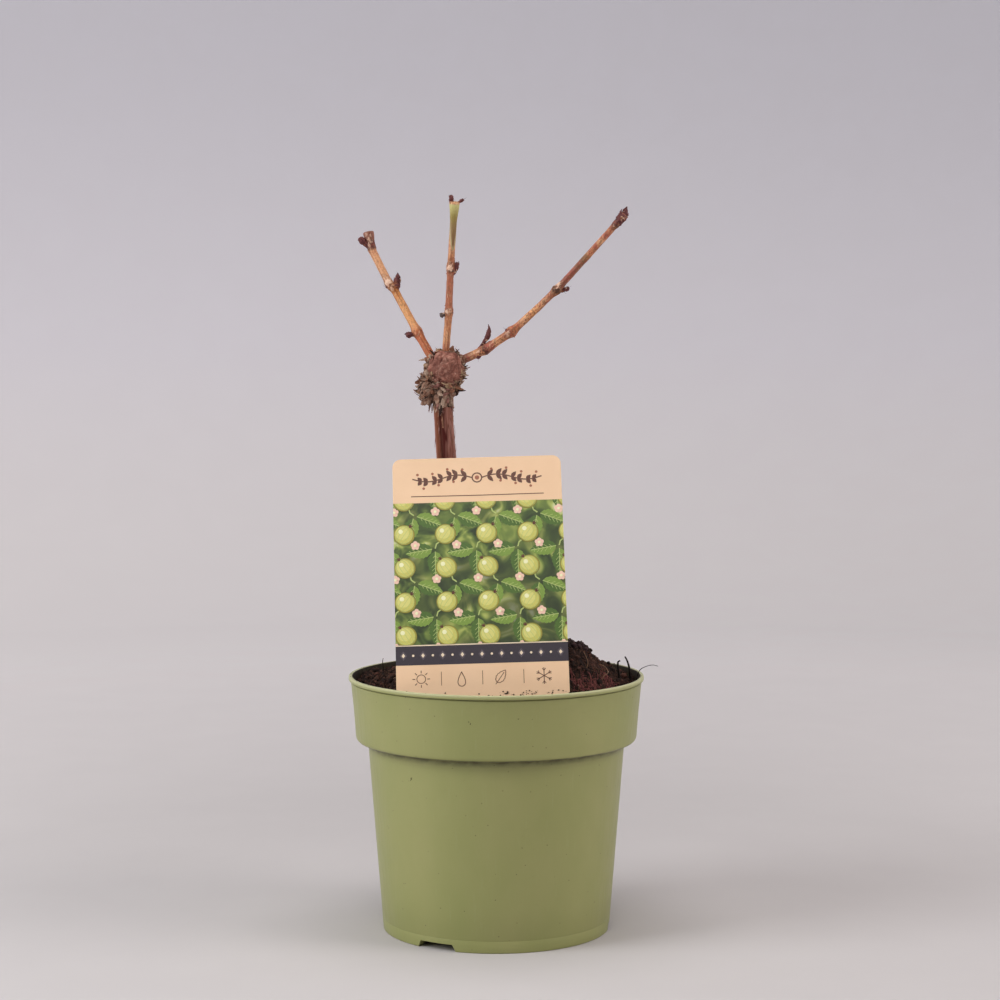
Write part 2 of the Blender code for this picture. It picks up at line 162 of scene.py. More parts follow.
def mixed(tree, factor, first, second, blend="MIX"):
    node = addNode(tree, "ShaderNodeMix", data_type="RGBA", blend_type=blend)
    for key, value in ((0, factor), (6, first), (7, second)):
        feed(tree, node.inputs[key], value)
    return node.outputs[2]


def laidOver(tree, base, tone, pattern, low, high, least=0.0, most=1.0):
    # a tone over a base, as thick as a pattern says
    return mixed(tree, between(tree, pattern, low, high, least, most), base, tone)


def stops(tree, factor, *marks):
    # a colour ramp through marks of a place and a screen colour, or of a place and a bare level
    node = addNode(tree, "ShaderNodeValToRGB", {"Fac": factor})
    held = node.color_ramp.elements
    while len(held) < len(marks):
        held.new(1.0)
    for element, (place, tone) in zip(held, marks):
        element.position = place
        element.color = colour(tone) if isinstance(tone, tuple) else (tone, tone, tone, 1)
    return node.outputs[0]


def mask(tree, name):
    # a value stored on the mesh for each of its points
    return addNode(tree, "ShaderNodeAttribute", attribute_name=name).outputs["Fac"]


def bumped(tree, height, depth, strength, below=None):
    # fine relief, its depth in millimetres, on top of what lies below
    values = {"Height": height, "Distance": depth * mm, "Strength": strength}
    if below is not None:
        values["Normal"] = below
    return addNode(tree, "ShaderNodeBump", values).outputs[0]


def newFinish(name, roughness, specular):
    # a plain material and its shader, to be given patterns
    finish = bpy.data.materials.new(name)
    finish.use_nodes = True
    tree = finish.node_tree
    shader = tree.nodes["Principled BSDF"]
    shader.inputs["Roughness"].default_value = roughness
    shader.inputs["Specular IOR Level"].default_value = specular
    return finish, tree, shader


def wire(tree, shader, **sockets):
    for key, socket in sockets.items():
        tree.links.new(socket, shader.inputs[key.replace("_", " ")])


# Shape helpers: every piece is a list of points and a list of faces


class Heap:
    # gathers small closed shapes into one mesh, each with a finish of its own

    def __init__(self):
        self.points, self.faces, self.finishes = [], [], []

    def add(self, points, faces, finish=0):
        base = len(self.points)
        self.points.extend(points)
        self.faces.extend([tuple(base + i for i in face) for face in faces])
        self.finishes.extend([finish] * len(faces))


def tube(rings, startCap=True, endCap=True):
    # points and faces through rings of equal count, each end closed by a fan on its middle
    count = len(rings[0])
    points = [point for ring in rings for point in ring]
    faces = []
    for k in range(len(rings) - 1):
        low, high = k * count, (k + 1) * count
        for i in range(count):
            j = (i + 1) % count
            faces.append((low + i, low + j, high + j, high + i))
    if startCap:
        points.append(sum(rings[0], Vector()) / count)
        faces += [((i + 1) % count, i, len(points) - 1) for i in range(count)]
    if endCap:
        base = (len(rings) - 1) * count
        points.append(sum(rings[-1], Vector()) / count)
        faces += [(base + i, base + (i + 1) % count, len(points) - 1) for i in range(count)]
    return points, faces


def crossAxes(along):
    across = along.cross(sideHint).normalized()
    return across, along.cross(across).normalized()


def outOf(axes, turn):
    # the way out of a line at a turn round it
    return math.cos(turn) * axes[0] + math.sin(turn) * axes[1]


def ringRound(centre, along, radii):
    # a ring of points square to along, with one radius for each point
    axes = crossAxes(along)
    return [centre + radius * outOf(axes, turn) for radius, turn in zip(radii, turnsRound(len(radii)))]


def roundRings(profile, sides):
    # level rings about Z, one for each radius and height
    turns = turnsRound(sides)
    return [[Vector(onCircle(radius, turn, z)) for turn in turns] for radius, z in profile]


def lathe(profile, sides):
    # a solid turned about Z from a profile that starts and ends on the axis
    points, faces = tube(roundRings(profile[1:-1], sides))
    points[-2] = Vector((0, 0, profile[0][1]))
    points[-1] = Vector((0, 0, profile[-1][1]))
    return points, faces


def rounded(corners, steps):
    # turns (radius, height, fillet) corners into a profile with arcs at the filleted ones
    profile = []
    for k, (radius, height, fillet) in enumerate(corners):
        here = Vector((radius, height))
        if fillet == 0:
            profile.append(here)
            continue
        before = (Vector(corners[k - 1][:2]) - here).normalized()
        after = (Vector(corners[k + 1][:2]) - here).normalized()
        half = before.angle(after) / 2
        setback = fillet / math.tan(half)
        centre = here + (before + after).normalized() * fillet / math.sin(half)
        first, last = here + before * setback - centre, here + after * setback - centre
        for step in range(steps + 1):
            angle = first.angle_signed(last, 0) * (step / steps)
            profile.append(centre + Matrix.Rotation(-angle, 2) @ first)
    return profile


def newMesh(name, points, faces):
    mesh = bpy.data.meshes.new(name)
    mesh.from_pydata([tuple(point) for point in points], [], faces)
    return mesh


def newObject(name, data):
    made = bpy.data.objects.new(name, data)
    bpy.context.scene.collection.objects.link(made)
    return made


def addPiece(name, points, faces, finishes, softBelow, replaced=(), faceFinish=None, masks=None):
    # one mesh that rides with the plant, with its finishes, masks and the solids it stands for
    mesh = newMesh(name, points, faces)
    for finish in finishes:
        mesh.materials.append(finish)
    if faceFinish is not None:
        mesh.polygons.foreach_set("material_index", faceFinish)
    for key, values in (masks or {}).items():
        mesh.attributes.new(key, "FLOAT", "POINT").data.foreach_set("value", values)
    mesh.shade_smooth()
    mesh.set_sharp_from_angle(angle=math.radians(softBelow))
    piece = newObject(name, mesh)
    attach(piece, "root")
    if replaced:
        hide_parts(*replaced)
    print(f"{name}: {sum(len(face) - 2 for face in faces)} triangles")
    return piece


def addHeap(name, heap, finishes, softBelow):
    return addPiece(name, heap.points, heap.faces, finishes, softBelow, faceFinish=heap.finishes)


fibreTaper = 0.65


def fibre(start, heading, length, radius, wander, sag, steps, sides):
    # a thin thread that wanders from its start, sagging as it goes
    rings, point, along = [], start.copy(), heading.normalized()
    for step in range(steps + 1):
        share = step / steps
        rings.append(ringRound(point, along, [radius * (1 - fibreTaper * share)] * sides))
        turn = Vector((draw.gauss(0, wander), draw.gauss(0, wander), draw.gauss(0, wander) - sag))
        along = (along + turn).normalized()
        point = point + along * length / steps
    return tube(rings)


def scrap(root, along, outwards, length, width, curl, thick, ragged=0.25, tip=0.15, steps=6):
    # a thin scrap of bark that leaves its root along one way and curls outwards
    across = along.cross(outwards).normalized()
    rings, point = [], root.copy()
    lean = draw.uniform(-0.35, 0.35)
    bow = draw.uniform(-0.3, 0.5)
    for step in range(steps + 1):
        share = step / steps
        turn = Matrix.Rotation(curl * share, 3, across)
        way, lift = turn @ along, turn @ outwards
        wide = width / 2 * min(1.0, 0.6 + 1.6 * share) * (1 - (1 - tip) * smoothStep((share - 0.3) / 0.7))
        wide *= 1 + ragged * draw.uniform(-1, 1)
        side = (across + way * lean).normalized() * max(wide, 0.0001)
        crown = lift * wide * bow
        deep = lift * thick
        edge = [point - side, point + crown, point + side]
        rings.append([*edge, *(corner - deep for corner in reversed(edge))])
        point = point + way * length / steps
    return tube(rings)


# Camera, floor, backdrop and lights

studio = {
    "cameraPlace": (0.0024, -1.508, 0.3763),
    "cameraPitch": 86.22,
    "lens": 84.78,
    "floorRadius": 1.7,
    "wallRadius": 2.7,
    "wallHeight": 2.2,
    "sweepSteps": 24,
    "sweepSides": 128,
    "tints": ((0.0, (228, 221, 222)), (0.2, (225, 219, 225)), (1.0, (216, 212, 220))),  # height, paint
    "tintHeight": 1.3,
    "speckleSize": 60.0,
    "speckle": (205, 197, 199),
    "ambient": 0.12,
    "air": (0.96, 0.95, 1.0, 1),
    "paintedGlow": (  # share of the way out to the wall, strength of a painted glow that lights the floor and sweep
        (0.12, 0.0), (0.21, 0.1), (0.4, 0.26), (0.54, 0.35), (0.64, 0.395), (1.0, 0.385),
    ),
    "shade": (  # share of the way out to the wall, brightness of the paint, darker round the pot as painted shadow
        (0.0, 0.79), (0.17, 0.79), (0.23, 0.84), (0.3, 0.9), (0.39, 0.95), (0.48, 1.0),
    ),
    # painted light: the glow fades higher up, and is stronger towards -X as if lit from the left
    "glowHeights": (0.2, 1.0),
    "glowLossUp": 0.2,
    "glowSides": (-1.5, 1.5),
    "glowTilt": 0.16,
}

lights = (  # name, place, aim, width, height, watts, tint
    ("softboxLeft", (-1.25, -0.56, 0.85), (0, 0, 0.2), 0.75, 1.1, 14.6, (0.96, 1.0, 1.0)),
    ("softboxRight", (1.3, -0.42, 0.8), (0, 0, 0.2), 0.7, 1.0, 9.0, (1.0, 0.97, 0.93)),
    ("softboxTop", (0.0, 0.0, 1.75), (0, 0, 0.2), 1.3, 1.1, 13.0, (1.0, 0.98, 0.96)),
    ("softboxFront", (-0.1, -1.2, 1.6), (0, 0, 0.2), 0.6, 0.5, 4.0, (1.0, 0.98, 0.96)),
)


def makeCamera():
    data = bpy.data.cameras.new("studioCamera")
    data.lens = studio["lens"]
    camera = newObject("studioCamera", data)
    camera.location = studio["cameraPlace"]
    camera.rotation_euler = (math.radians(studio["cameraPitch"]), 0, 0)
    bpy.context.scene.camera = camera


def backdropFinish():
    finish, tree, shader = newFinish("paintedSweep", 0.85, 0.25)
    place = addNode(tree, "ShaderNodeTexCoord").outputs["Object"]
    height = addNode(tree, "ShaderNodeSeparateXYZ", {"Vector": place}).outputs["Z"]
    level = between(tree, height, 0.0, studio["tintHeight"])
    base = stops(tree, level, *studio["tints"])
    speckle = cloudy(tree, studio["speckleSize"], detail=3)
    paint = laidOver(tree, base, studio["speckle"], speckle, 0.3, 0.7, 0, 0.06)
    reach = addNode(tree, "ShaderNodeVectorMath", {0: place, 1: (1, 1, 0)}, operation="MULTIPLY").outputs[0]
    reach = addNode(tree, "ShaderNodeVectorMath", {0: reach}, operation="LENGTH").outputs["Value"]
    share = arithmetic(tree, "DIVIDE", reach, studio["wallRadius"])
    # painted shadow: the paint is darker near the pot
    paint = mixed(tree, 1.0, paint, stops(tree, share, *studio["shade"]), "MULTIPLY")
    # painted glow: the floor and sweep give off light, stronger towards -X and weaker higher up
    paintedGlow = stops(tree, share, *studio["paintedGlow"])
    sideways = addNode(tree, "ShaderNodeSeparateXYZ", {"Vector": place}).outputs["X"]
    tilt = between(tree, sideways, *studio["glowSides"], 1 + studio["glowTilt"], 1 - studio["glowTilt"])
    paintedGlow = times(tree, paintedGlow, tilt)
    fade = between(tree, height, *studio["glowHeights"], 1.0, 1.0 - studio["glowLossUp"])
    paintedGlow = times(tree, paintedGlow, fade)
    wire(tree, shader, Base_Color=paint, Emission_Color=paint, Emission_Strength=paintedGlow)
    wire(tree, shader, Normal=bumped(tree, cloudy(tree, 1.2), 0.03, 0.4))
    return finish


def addStage(name, profile, finish):
    rings = roundRings(profile, studio["sweepSides"])
    points, faces = tube(rings, startCap=profile[0][0] < 0.1, endCap=False)
    mesh = newMesh(name, points, [face[::-1] for face in faces])
    mesh.materials.append(finish)
    mesh.shade_smooth()
    part = newObject(name, mesh)
    return part


def makeStage():
    # a round floor and sweep, so that the same backdrop stands behind every view
    finish = backdropFinish()
    radius, reach = studio["floorRadius"], studio["wallRadius"] - studio["floorRadius"]
    addStage("studioFloor", [(0.05, 0), (0.2, 0), (0.5, 0), (1.0, 0), (radius, 0)], finish)
    wall = []
    for step in range(studio["sweepSteps"] + 1):
        turn = math.pi / 2 * step / studio["sweepSteps"]
        wall.append((radius + reach * math.sin(turn), reach * (1 - math.cos(turn))))
    sweep = addStage("studioSweep", [*wall, (studio["wallRadius"], studio["wallHeight"])], finish)
    sweep.visible_diffuse = False
    sweep.visible_shadow = False


def makeLights():
    for name, place, aim, width, height, watts, tint in lights:
        data = bpy.data.lights.new(name, "AREA")
        data.shape, data.size, data.size_y = "RECTANGLE", width, height
        data.energy, data.color = watts, tint
        light = newObject(name, data)
        light.location = place
        light.rotation_euler = (Vector(aim) - Vector(place)).to_track_quat("-Z", "Y").to_euler()
        light.visible_camera = False
    world = bpy.data.worlds.new("studioAir")
    world.use_nodes = True
    air = world.node_tree.nodes["Background"].inputs
    air["Color"].default_value = studio["air"]
    air["Strength"].default_value = studio["ambient"]
    bpy.context.scene.world = world
    bpy.context.scene.view_settings.view_transform = "Standard"


makeCamera()
makeStage()
makeLights()
print("studio ready")

# Pot: one turned shell with a deep collar, a beaded rim, foot notches and drain holes

pot = {
    "height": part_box("pot")[1].z,
    "wall": 0.0013,
    "sides": 256,
    "footRadius": 0.073,
    "waistRadius": 0.0827,
    "collarBottom": 0.1222,
    "collarLowRadius": 0.0899,
    "collarTopRadius": 0.0937,
    "collarCorner": 0.0034,
    "collarMiddle": 0.142,
    "rimRadius": 0.095,
    "bead": 0.0027,
    "notchInside": 0.01,
    "notchOutside": 0.004,
    "cutMargin": 0.001,
    "footRing": 0.0045,
    "floorRise": 0.0055,
    "mouldLine": 0.0078,
    "mouldLineDepth": 0.00014,
    "mouldLineHalf": 0.0004,
    "bodyRings": (0.03, 0.06, 0.09, 0.11, 0.1145, 0.1175, 0.1195),  # heights, closer under the collar
    "notchHeadings": (239, 359, 119),
    "notchHeight": 0.0045,
    "notchFootWidth": 0.0286,
    "notchTopWidth": 0.0232,
    "drains": 6,
    "drainRadius": 0.0045,
    "drainCircle": 0.044,
    "drainSides": 32,
    "softBelow": 35,
}


def bodyRadius(height):
    return pot["footRadius"] + (pot["waistRadius"] - pot["footRadius"]) * height / pot["collarBottom"]


def collarRadius(height):
    share = (height - pot["collarBottom"]) / (pot["height"] - pot["collarBottom"])
    return pot["collarLowRadius"] + (pot["collarTopRadius"] - pot["collarLowRadius"]) * share


def innerRadius(height):
    # of the wall's inner face
    below = height < pot["collarBottom"] + pot["wall"]
    return (bodyRadius(height) if below else collarRadius(height)) - pot["wall"]


def potFinish():
    finish, tree, shader = newFinish("mouldedGreenPlastic", 0.42, 0.45)
    patches = cloudy(tree, 38.0, (1, 1, 1.6), 3)
    base = stops(tree, patches, (0.25, (150, 153, 93)), (0.75, (160, 159, 102)))
    streaks = cloudy(tree, 1.6, (1, 1, 26), 3, 0.6)
    base = laidOver(tree, base, (176, 178, 134), streaks, 0.56, 0.82, 0, 0.16)
    dust = between(tree, cloudy(tree, 7.0, (1, 1, 0.5), 6, 0.7), 0.6, 0.86, 0, 0.22)
    base = mixed(tree, dust, base, (120, 112, 74))
    specks = between(tree, cells(tree, 6.5), 0.035, 0.065, 0.8, 0)
    base = mixed(tree, specks, base, (84, 78, 44))
    # painted shade under the collar and the bead, broken up by noise, in a dark olive
    paintedUnderShade = between(tree, cloudy(tree, 3.0, (2, 2, 1), 4), 0.35, 0.65, 0.65, 1.0)
    base = mixed(tree, times(tree, mask(tree, "paintedUnderShade"), paintedUnderShade), base, (66, 62, 34))
    # painted highlight: a paler band along the top of the bead
    base = mixed(tree, times(tree, mask(tree, "paintedRimHighlight"), 0.8), base, (196, 194, 150))
    scuffs = cloudy(tree, 0.9, (4, 4, 1), 5, 0.7)
    gloss = arithmetic(tree, "ADD", between(tree, streaks, 0.3, 0.8, 0.34, 0.5),
                       between(tree, scuffs, 0.6, 0.8, 0, 0.1))
    waves = bumped(tree, cloudy(tree, 14.0, (1, 1, 2)), 0.12, 0.5)
    grain = bumped(tree, cloudy(tree, 0.35, detail=2), 0.01, 0.5, waves)
    wire(tree, shader, Base_Color=base, Roughness=gloss, Normal=grain)
    return finish


def soiledShadedFinish():
    # the inside of the pot, dulled by wet compost and darkened with painted shade
    finish, tree, shader = newFinish("soiledShadedPlastic", 0.6, 0.3)
    stain = cloudy(tree, 5.0, (1, 1, 2), 6, 0.7)
    base = stops(tree, stain, (0.35, (38, 30, 20)), (0.55, (60, 52, 34)),
                 (0.78, (92, 88, 56)))
    drips = between(tree, cloudy(tree, 1.2, (1, 1, 9), 3), 0.55, 0.75, 0, 0.5)
    base = mixed(tree, drips, base, (60, 48, 32))
    wire(tree, shader, Base_Color=base, Normal=bumped(tree, stain, 0.12, 0.6))
    return finish


def potProfile():
    cornerLow = pot["collarBottom"] + pot["collarCorner"]
    beadLow = pot["height"] - pot["bead"]
    footInside = pot["footRadius"] - pot["footRing"]
    ledge, floor = pot["collarBottom"] + pot["wall"], pot["floorRise"] + pot["wall"]
    line, depth, half = pot["mouldLine"], pot["mouldLineDepth"], pot["mouldLineHalf"]
    corners = [
        (0.0, pot["floorRise"], 0),
        (footInside - pot["floorRise"], pot["floorRise"], 0.0015),
        (footInside, 0.0, 0.0005),
        (pot["footRadius"], 0.0, 0.0008),
        (bodyRadius(line - half), line - half, 0),
        (bodyRadius(line) - depth, line, 0),
        (bodyRadius(line + half), line + half, 0),
        *((bodyRadius(height), height, 0) for height in pot["bodyRings"]),
        (bodyRadius(pot["collarBottom"]), pot["collarBottom"], 0.0009),
        (collarRadius(cornerLow), pot["collarBottom"], pot["collarCorner"] * 0.97),
        (collarRadius(pot["collarMiddle"]), pot["collarMiddle"], 0),
        (collarRadius(beadLow) + 0.0001, beadLow - 0.0009, 0),
        (collarRadius(beadLow) - 0.0004, beadLow - 0.0006, 0.0002),
        (collarRadius(beadLow) - 0.0003, beadLow, 0.0002),
        (pot["rimRadius"], beadLow + 0.0001, 0.0006),
        (pot["rimRadius"], pot["height"], 0.0006),
        (collarRadius(pot["height"]) - pot["wall"], pot["height"], 0.0007),
        (collarRadius(ledge + 0.004) - pot["wall"], ledge + 0.004, 0),
        (collarRadius(ledge) - pot["wall"] - 0.0008, ledge, 0.0012),
        (bodyRadius(ledge) - pot["wall"], ledge, 0.0008),
        (bodyRadius(floor) - pot["wall"], floor, 0.0012),
        (0.0, floor, 0),
    ]
    return rounded(corners, 5)


def potCutters():
    # solids that cut the foot notches and the drain holes
    heap = Heap()
    below, top = -pot["cutMargin"], pot["notchHeight"]
    inner, outer = pot["footRadius"] - pot["notchInside"], pot["footRadius"] + pot["notchOutside"]
    halfFoot, halfTop = pot["notchFootWidth"] / 2, pot["notchTopWidth"] / 2
    outline = ((-halfFoot, below), (halfFoot, below), (halfTop, top), (-halfTop, top))
    for heading in pot["notchHeadings"]:
        spin = Matrix.Rotation(math.radians(heading), 3, "Z")
        heap.add(*tube([[spin @ Vector((radius, across, z)) for across, z in outline]
                        for radius in (inner, outer)]))
    drainTop = pot["floorRise"] + pot["wall"] + 2 * pot["cutMargin"]
    for k in range(pot["drains"]):
        middle = pot["drainCircle"] * Vector(onCircle(1, fullTurn * (k + 0.5) / pot["drains"], 0))
        heap.add(*tube([ringRound(middle + up * z, up, [pot["drainRadius"]] * pot["drainSides"])
                        for z in (3 * pot["cutMargin"], drainTop)]))
    cutters = newObject("potCutters", newMesh("potCutters", heap.points, heap.faces))
    faceOutwards(cutters.data)
    return cutters


def faceOutwards(mesh):
    bm = bmesh.new()
    bm.from_mesh(mesh)
    bmesh.ops.recalc_face_normals(bm, faces=bm.faces)
    bm.to_mesh(mesh)
    bm.free()


def makePot():
    points, faces = lathe(potProfile(), pot["sides"])
    rim = 0.0003 + max(point.z for point in points) - pot["bead"]
    lip = collarRadius(pot["height"]) - pot["wall"] + 0.0004
    # faces inside the pot take the stained finish, which also carries painted shade
    soiledShaded = []
    for face in faces:
        middle = sum((points[i] for i in face), Vector()) / len(face)
        lined = math.hypot(middle.x, middle.y) < min(lip, innerRadius(middle.z) + 0.0006)
        soiledShaded.append(1 if lined and middle.z > pot["floorRise"] + pot["wall"] / 2 else 0)
    paintedUnderShade, paintedRimHighlight = [], []  # painted shade under the collar and under the bead, and a painted highlight along the top of the bead
    for point in points:
        below = pot["collarBottom"] + 0.0009 - point.z
        under = bellCurve(max(0.0, below - 0.001), 0.0032) if below > 0 else 0.0
        paintedUnderShade.append(max(under, bellCurve(point.z - rim + 0.0006, 0.0004) * 0.7))
        paintedRimHighlight.append(smoothStep((point.z - rim - 0.0012) / 0.0008))
    shell = addPiece("potShell", points, faces, [potFinish(), soiledShadedFinish()],
                     pot["softBelow"], ("pot",), soiledShaded, {"paintedUnderShade": paintedUnderShade, "paintedRimHighlight": paintedRimHighlight})
    faceOutwards(shell.data)
    cutters = potCutters()
    cut = shell.modifiers.new("cut", "BOOLEAN")
    cut.operation, cut.solver, cut.object = "DIFFERENCE", "EXACT", cutters
    graph = bpy.context.evaluated_depsgraph_get()
    shell.data = bpy.data.meshes.new_from_object(shell.evaluated_get(graph))
    shell.modifiers.clear()
    shell.data.set_sharp_from_angle(angle=math.radians(pot["softBelow"]))
    bpy.data.objects.remove(cutters)


makePot()

# Soil: peaty compost banked up at the back left, with the root ball standing proud

soil = {
    "drop": 0.0075,
    "bank": 0.007,
    "bankHeading": 135,
    "moundCentre": Vector((0.0045, 0.005)),
    "moundTop": 0.045,
    "moundFoot": 0.0835,
    "moundHeight": 0.027,
    "frontSqueeze": 1.3,
    "clodCentre": Vector((0.0505, 0.006)),
    "clodRadius": 0.009,
    "clodHeight": 0.002,
    "roughness": 0.0012,
    "rings": 120,
    "sides": 400,
    "shelfHeading": 21,
    "shelfWidth": 15,
    "shelfStart": 0.066,
    "shelfHeight": 0.0065,
    "lumpHeight": 0.003,
    "poreDepth": 0.0008,
    "crackDepth": 0.0022,
    "bigCrumbs": 620,
    "smallCrumbs": 1700,
    "clodCrumbs": 150,
    "heapCentre": Vector((-0.0268, 0.0)),
    "heapRadius": 0.0125,
    "heapHeight": 0.003,
    "heapRing": (0.0085, 0.015),
    "heapCrumbs": 130,  # against the foot of the trunk
    "reach": 0.0895,  # of loose things from the middle
    "flecks": 50,
    "fibres": 560,
    "fibreLengths": (0.002, 0.006),
    "fibreRadii": (0.00007, 0.00015),
    "creepers": 1000,
    "creeperRing": (0.012, 0.08),
    "creeperLengths": (0.003, 0.008),
    "creeperRadii": (0.0001, 0.00022),
    "creeperSteps": 9,
    "redCreepers": 170,
    "redRadii": (0.0001, 0.00018),
    "redCentre": Vector((0.0665, -0.0255)),
    "redReach": 0.012,
    "tones": {  # of the crumbs, dark and light
        "crumbBlack": ((20, 12, 9), (44, 28, 22)),
        "crumbBrown": ((46, 28, 21), (84, 54, 42)),
        "crumbRed": ((62, 35, 28), (102, 64, 52)),
        "crumbFleck": ((150, 128, 108), (196, 180, 162)),
        "crumbPurple": ((36, 24, 26), (70, 48, 50)),
    },
    "fibreTones": {
        "fibreDark": ((34, 22, 16), (70, 48, 36)),
        "fibreBrown": ((78, 54, 41), (122, 90, 69)),
        "fibreRed": ((112, 60, 58), (166, 98, 94)),
        "rootletPale": ((160, 126, 98), (200, 168, 136)),
    },
    "strandTones": {
        "strandDark": ((20, 14, 12), (48, 36, 30)),
        "strandPale": ((118, 86, 66), (160, 124, 98)),
    },
    "strands": (  # radius, finish, then the points it passes
        (0.00085, 0, ((0.0795, 0.006, 0.161), (0.0788, 0.004, 0.168), (0.0786, 0.003, 0.1714),
                      (0.08, 0.003, 0.1726))),
        (0.0008, 0, ((0.087, 0.01, 0.16), (0.0862, 0.008, 0.167), (0.0846, 0.006, 0.1722),
                      (0.0832, 0.005, 0.1748))),
        (0.0003, 0, ((0.0905, 0.004, 0.16), (0.0925, 0.002, 0.1662), (0.0962, 0.0, 0.169),
                      (0.1005, -0.001, 0.1702), (0.1042, -0.001, 0.1695))),
        (0.0003, 1, ((0.0668, 0.001, 0.1705), (0.0705, -0.003, 0.1688), (0.0716, -0.009, 0.1662),
                      (0.069, -0.014, 0.1652), (0.0676, -0.02, 0.1634))),
        (0.0002, 1, ((0.056, -0.01, 0.18), (0.0585, -0.016, 0.1742), (0.0572, -0.022, 0.1688),
                      (0.059, -0.027, 0.164))),
        (0.00034, 0, ((-0.0735, 0.02, 0.164), (-0.0742, 0.018, 0.169), (-0.0738, 0.017, 0.1722))),
    ),
}


def soilHeight(x, y):
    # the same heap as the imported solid
    here = Vector((x, y))
    away = here - soil["moundCentre"]
    if away.y < 0:
        away.y *= soil["frontSqueeze"]
    share = smoothStep((soil["moundFoot"] - away.length) / (soil["moundFoot"] - soil["moundTop"]))
    base = pot["height"] - soil["drop"]
    banked = max(0.0, math.cos(math.atan2(y, x) - math.radians(soil["bankHeading"]))) ** 1.5
    level = base + soil["bank"] * banked * smoothStep(here.length / pot["rimRadius"])
    height = level * (1 - share) + (base + soil["moundHeight"]) * share
    height += soil["clodHeight"] * smoothStep(1.4 - (here - soil["clodCentre"]).length / soil["clodRadius"])
    nearWall = smoothStep((here.length - 0.9 * pot["rimRadius"]) / (0.1 * pot["rimRadius"]))
    coarse = ripple(x * 70, y * 70, 3.1)
    fine = ripple(x * 160, y * 160, 8.7)
    return height + soil["roughness"] * (coarse + 0.6 * fine) * (1 - 0.7 * nearWall)


def lumpyHeight(x, y):
    # adds clods, pores and crumbs too fine for the solid
    lumps = noise.turbulence(Vector((x * 210, y * 210, 1.3)), 4, False)
    pores = ripple(x * 420, y * 420, 5.5)
    cracks = abs(ripple(x * 120, y * 120, 9.2))
    fromShelf = turnBetween(math.atan2(y, x), soil["shelfHeading"])
    shelf = bellCurve(fromShelf, math.radians(soil["shelfWidth"]))
    shelf *= soil["shelfHeight"] * smoothStep((math.hypot(x, y) - soil["shelfStart"]) / 0.014)
    fromHeap = (Vector((x, y)) - soil["heapCentre"]).length
    heaped = soil["heapHeight"] * bellCurve(fromHeap, soil["heapRadius"])
    height = soilHeight(x, y) + shelf + heaped
    height += soil["lumpHeight"] * (lumps - 0.7)
    height += soil["poreDepth"] * pores
    return height - soil["crackDepth"] * bellCurve(cracks, 0.07)


def onSoil(x, y, lift=0.0):
    return Vector((x, y, lumpyHeight(x, y) + lift))


def soilFinish():
    finish, tree, shader = newFinish("darkCompost", 0.92, 0.22)
    clumps = cloudy(tree, 5.0, detail=6, rough=0.65)
    base = stops(tree, clumps, (0.32, (26, 14, 11)), (0.48, (54, 33, 26)),
                 (0.6, (82, 54, 43)), (0.76, (112, 76, 64)))
    crumbs = cells(tree, 1.1)
    base = laidOver(tree, base, (24, 14, 10), crumbs, 0.25, 0.75)
    dry = between(tree, cloudy(tree, 14.0, detail=3), 0.52, 0.75, 0, 0.5)
    base = mixed(tree, dry, base, (110, 74, 66))
    relief = bumped(tree, crumbs, 0.55, 0.9)
    relief = bumped(tree, cloudy(tree, 0.5, detail=4, rough=0.7), 0.35, 0.9, relief)
    wire(tree, shader, Base_Color=base, Normal=relief)
    return finish


def looseFinish(name, dark, light, size=0.7, roughness=0.85, relief=0.12):
    # mottled finish of small loose things, between two close tones
    finish, tree, shader = newFinish(name, roughness, 0.25)
    grain = cloudy(tree, size, detail=4, rough=0.65)
    wire(tree, shader, Base_Color=stops(tree, grain, (0.32, dark), (0.68, light)),
         Normal=bumped(tree, cloudy(tree, size * 0.4), relief, 0.8))
    return finish


def looseFinishes(tones, *settings):
    return [looseFinish(name, *pair, *settings) for name, pair in tones.items()]


def makeSoilBed():
    edge = collarRadius(pot["height"] - soil["drop"]) - pot["wall"] - 0.0002
    ledge, floor = pot["collarBottom"] + pot["wall"], pot["floorRise"] + pot["wall"]
    inset = pot["wall"] + 0.0003
    wall = [
        (bodyRadius(floor) - inset - 0.001, floor + 0.0003),
        (bodyRadius(floor + 0.002) - inset, floor + 0.002),
        (bodyRadius(ledge) - inset, ledge + 0.0003),
        (collarRadius(ledge) - inset - 0.001, ledge + 0.0006),
        (collarRadius(ledge + 0.004) - inset, ledge + 0.004),
    ]
    rings = roundRings(wall, soil["sides"])
    for step in range(soil["rings"]):
        radius = edge * (1 - (step / soil["rings"]) ** 1.15)
        rings.append([onSoil(*onCircle(radius, turn)) for turn in turnsRound(soil["sides"])])
    points, faces = tube(rings)
    points[-1] = onSoil(0, 0)
    addPiece("soilBed", points, faces, [soilFinish()], 70, ("soil",))


def crumbShapes():
    # two unit lumps, a coarse one of 20 faces and a finer one of 80
    shapes = []
    for level in (1, 2):
        bm = bmesh.new()
        bmesh.ops.create_icosphere(bm, subdivisions=level, radius=1)
        bm.verts.ensure_lookup_table()
        faces = [tuple(vert.index for vert in face.verts) for face in bm.faces]
        shapes.append(([vert.co.copy() for vert in bm.verts], faces))
        bm.free()
    return shapes


smallLump, bigLump = crumbShapes()


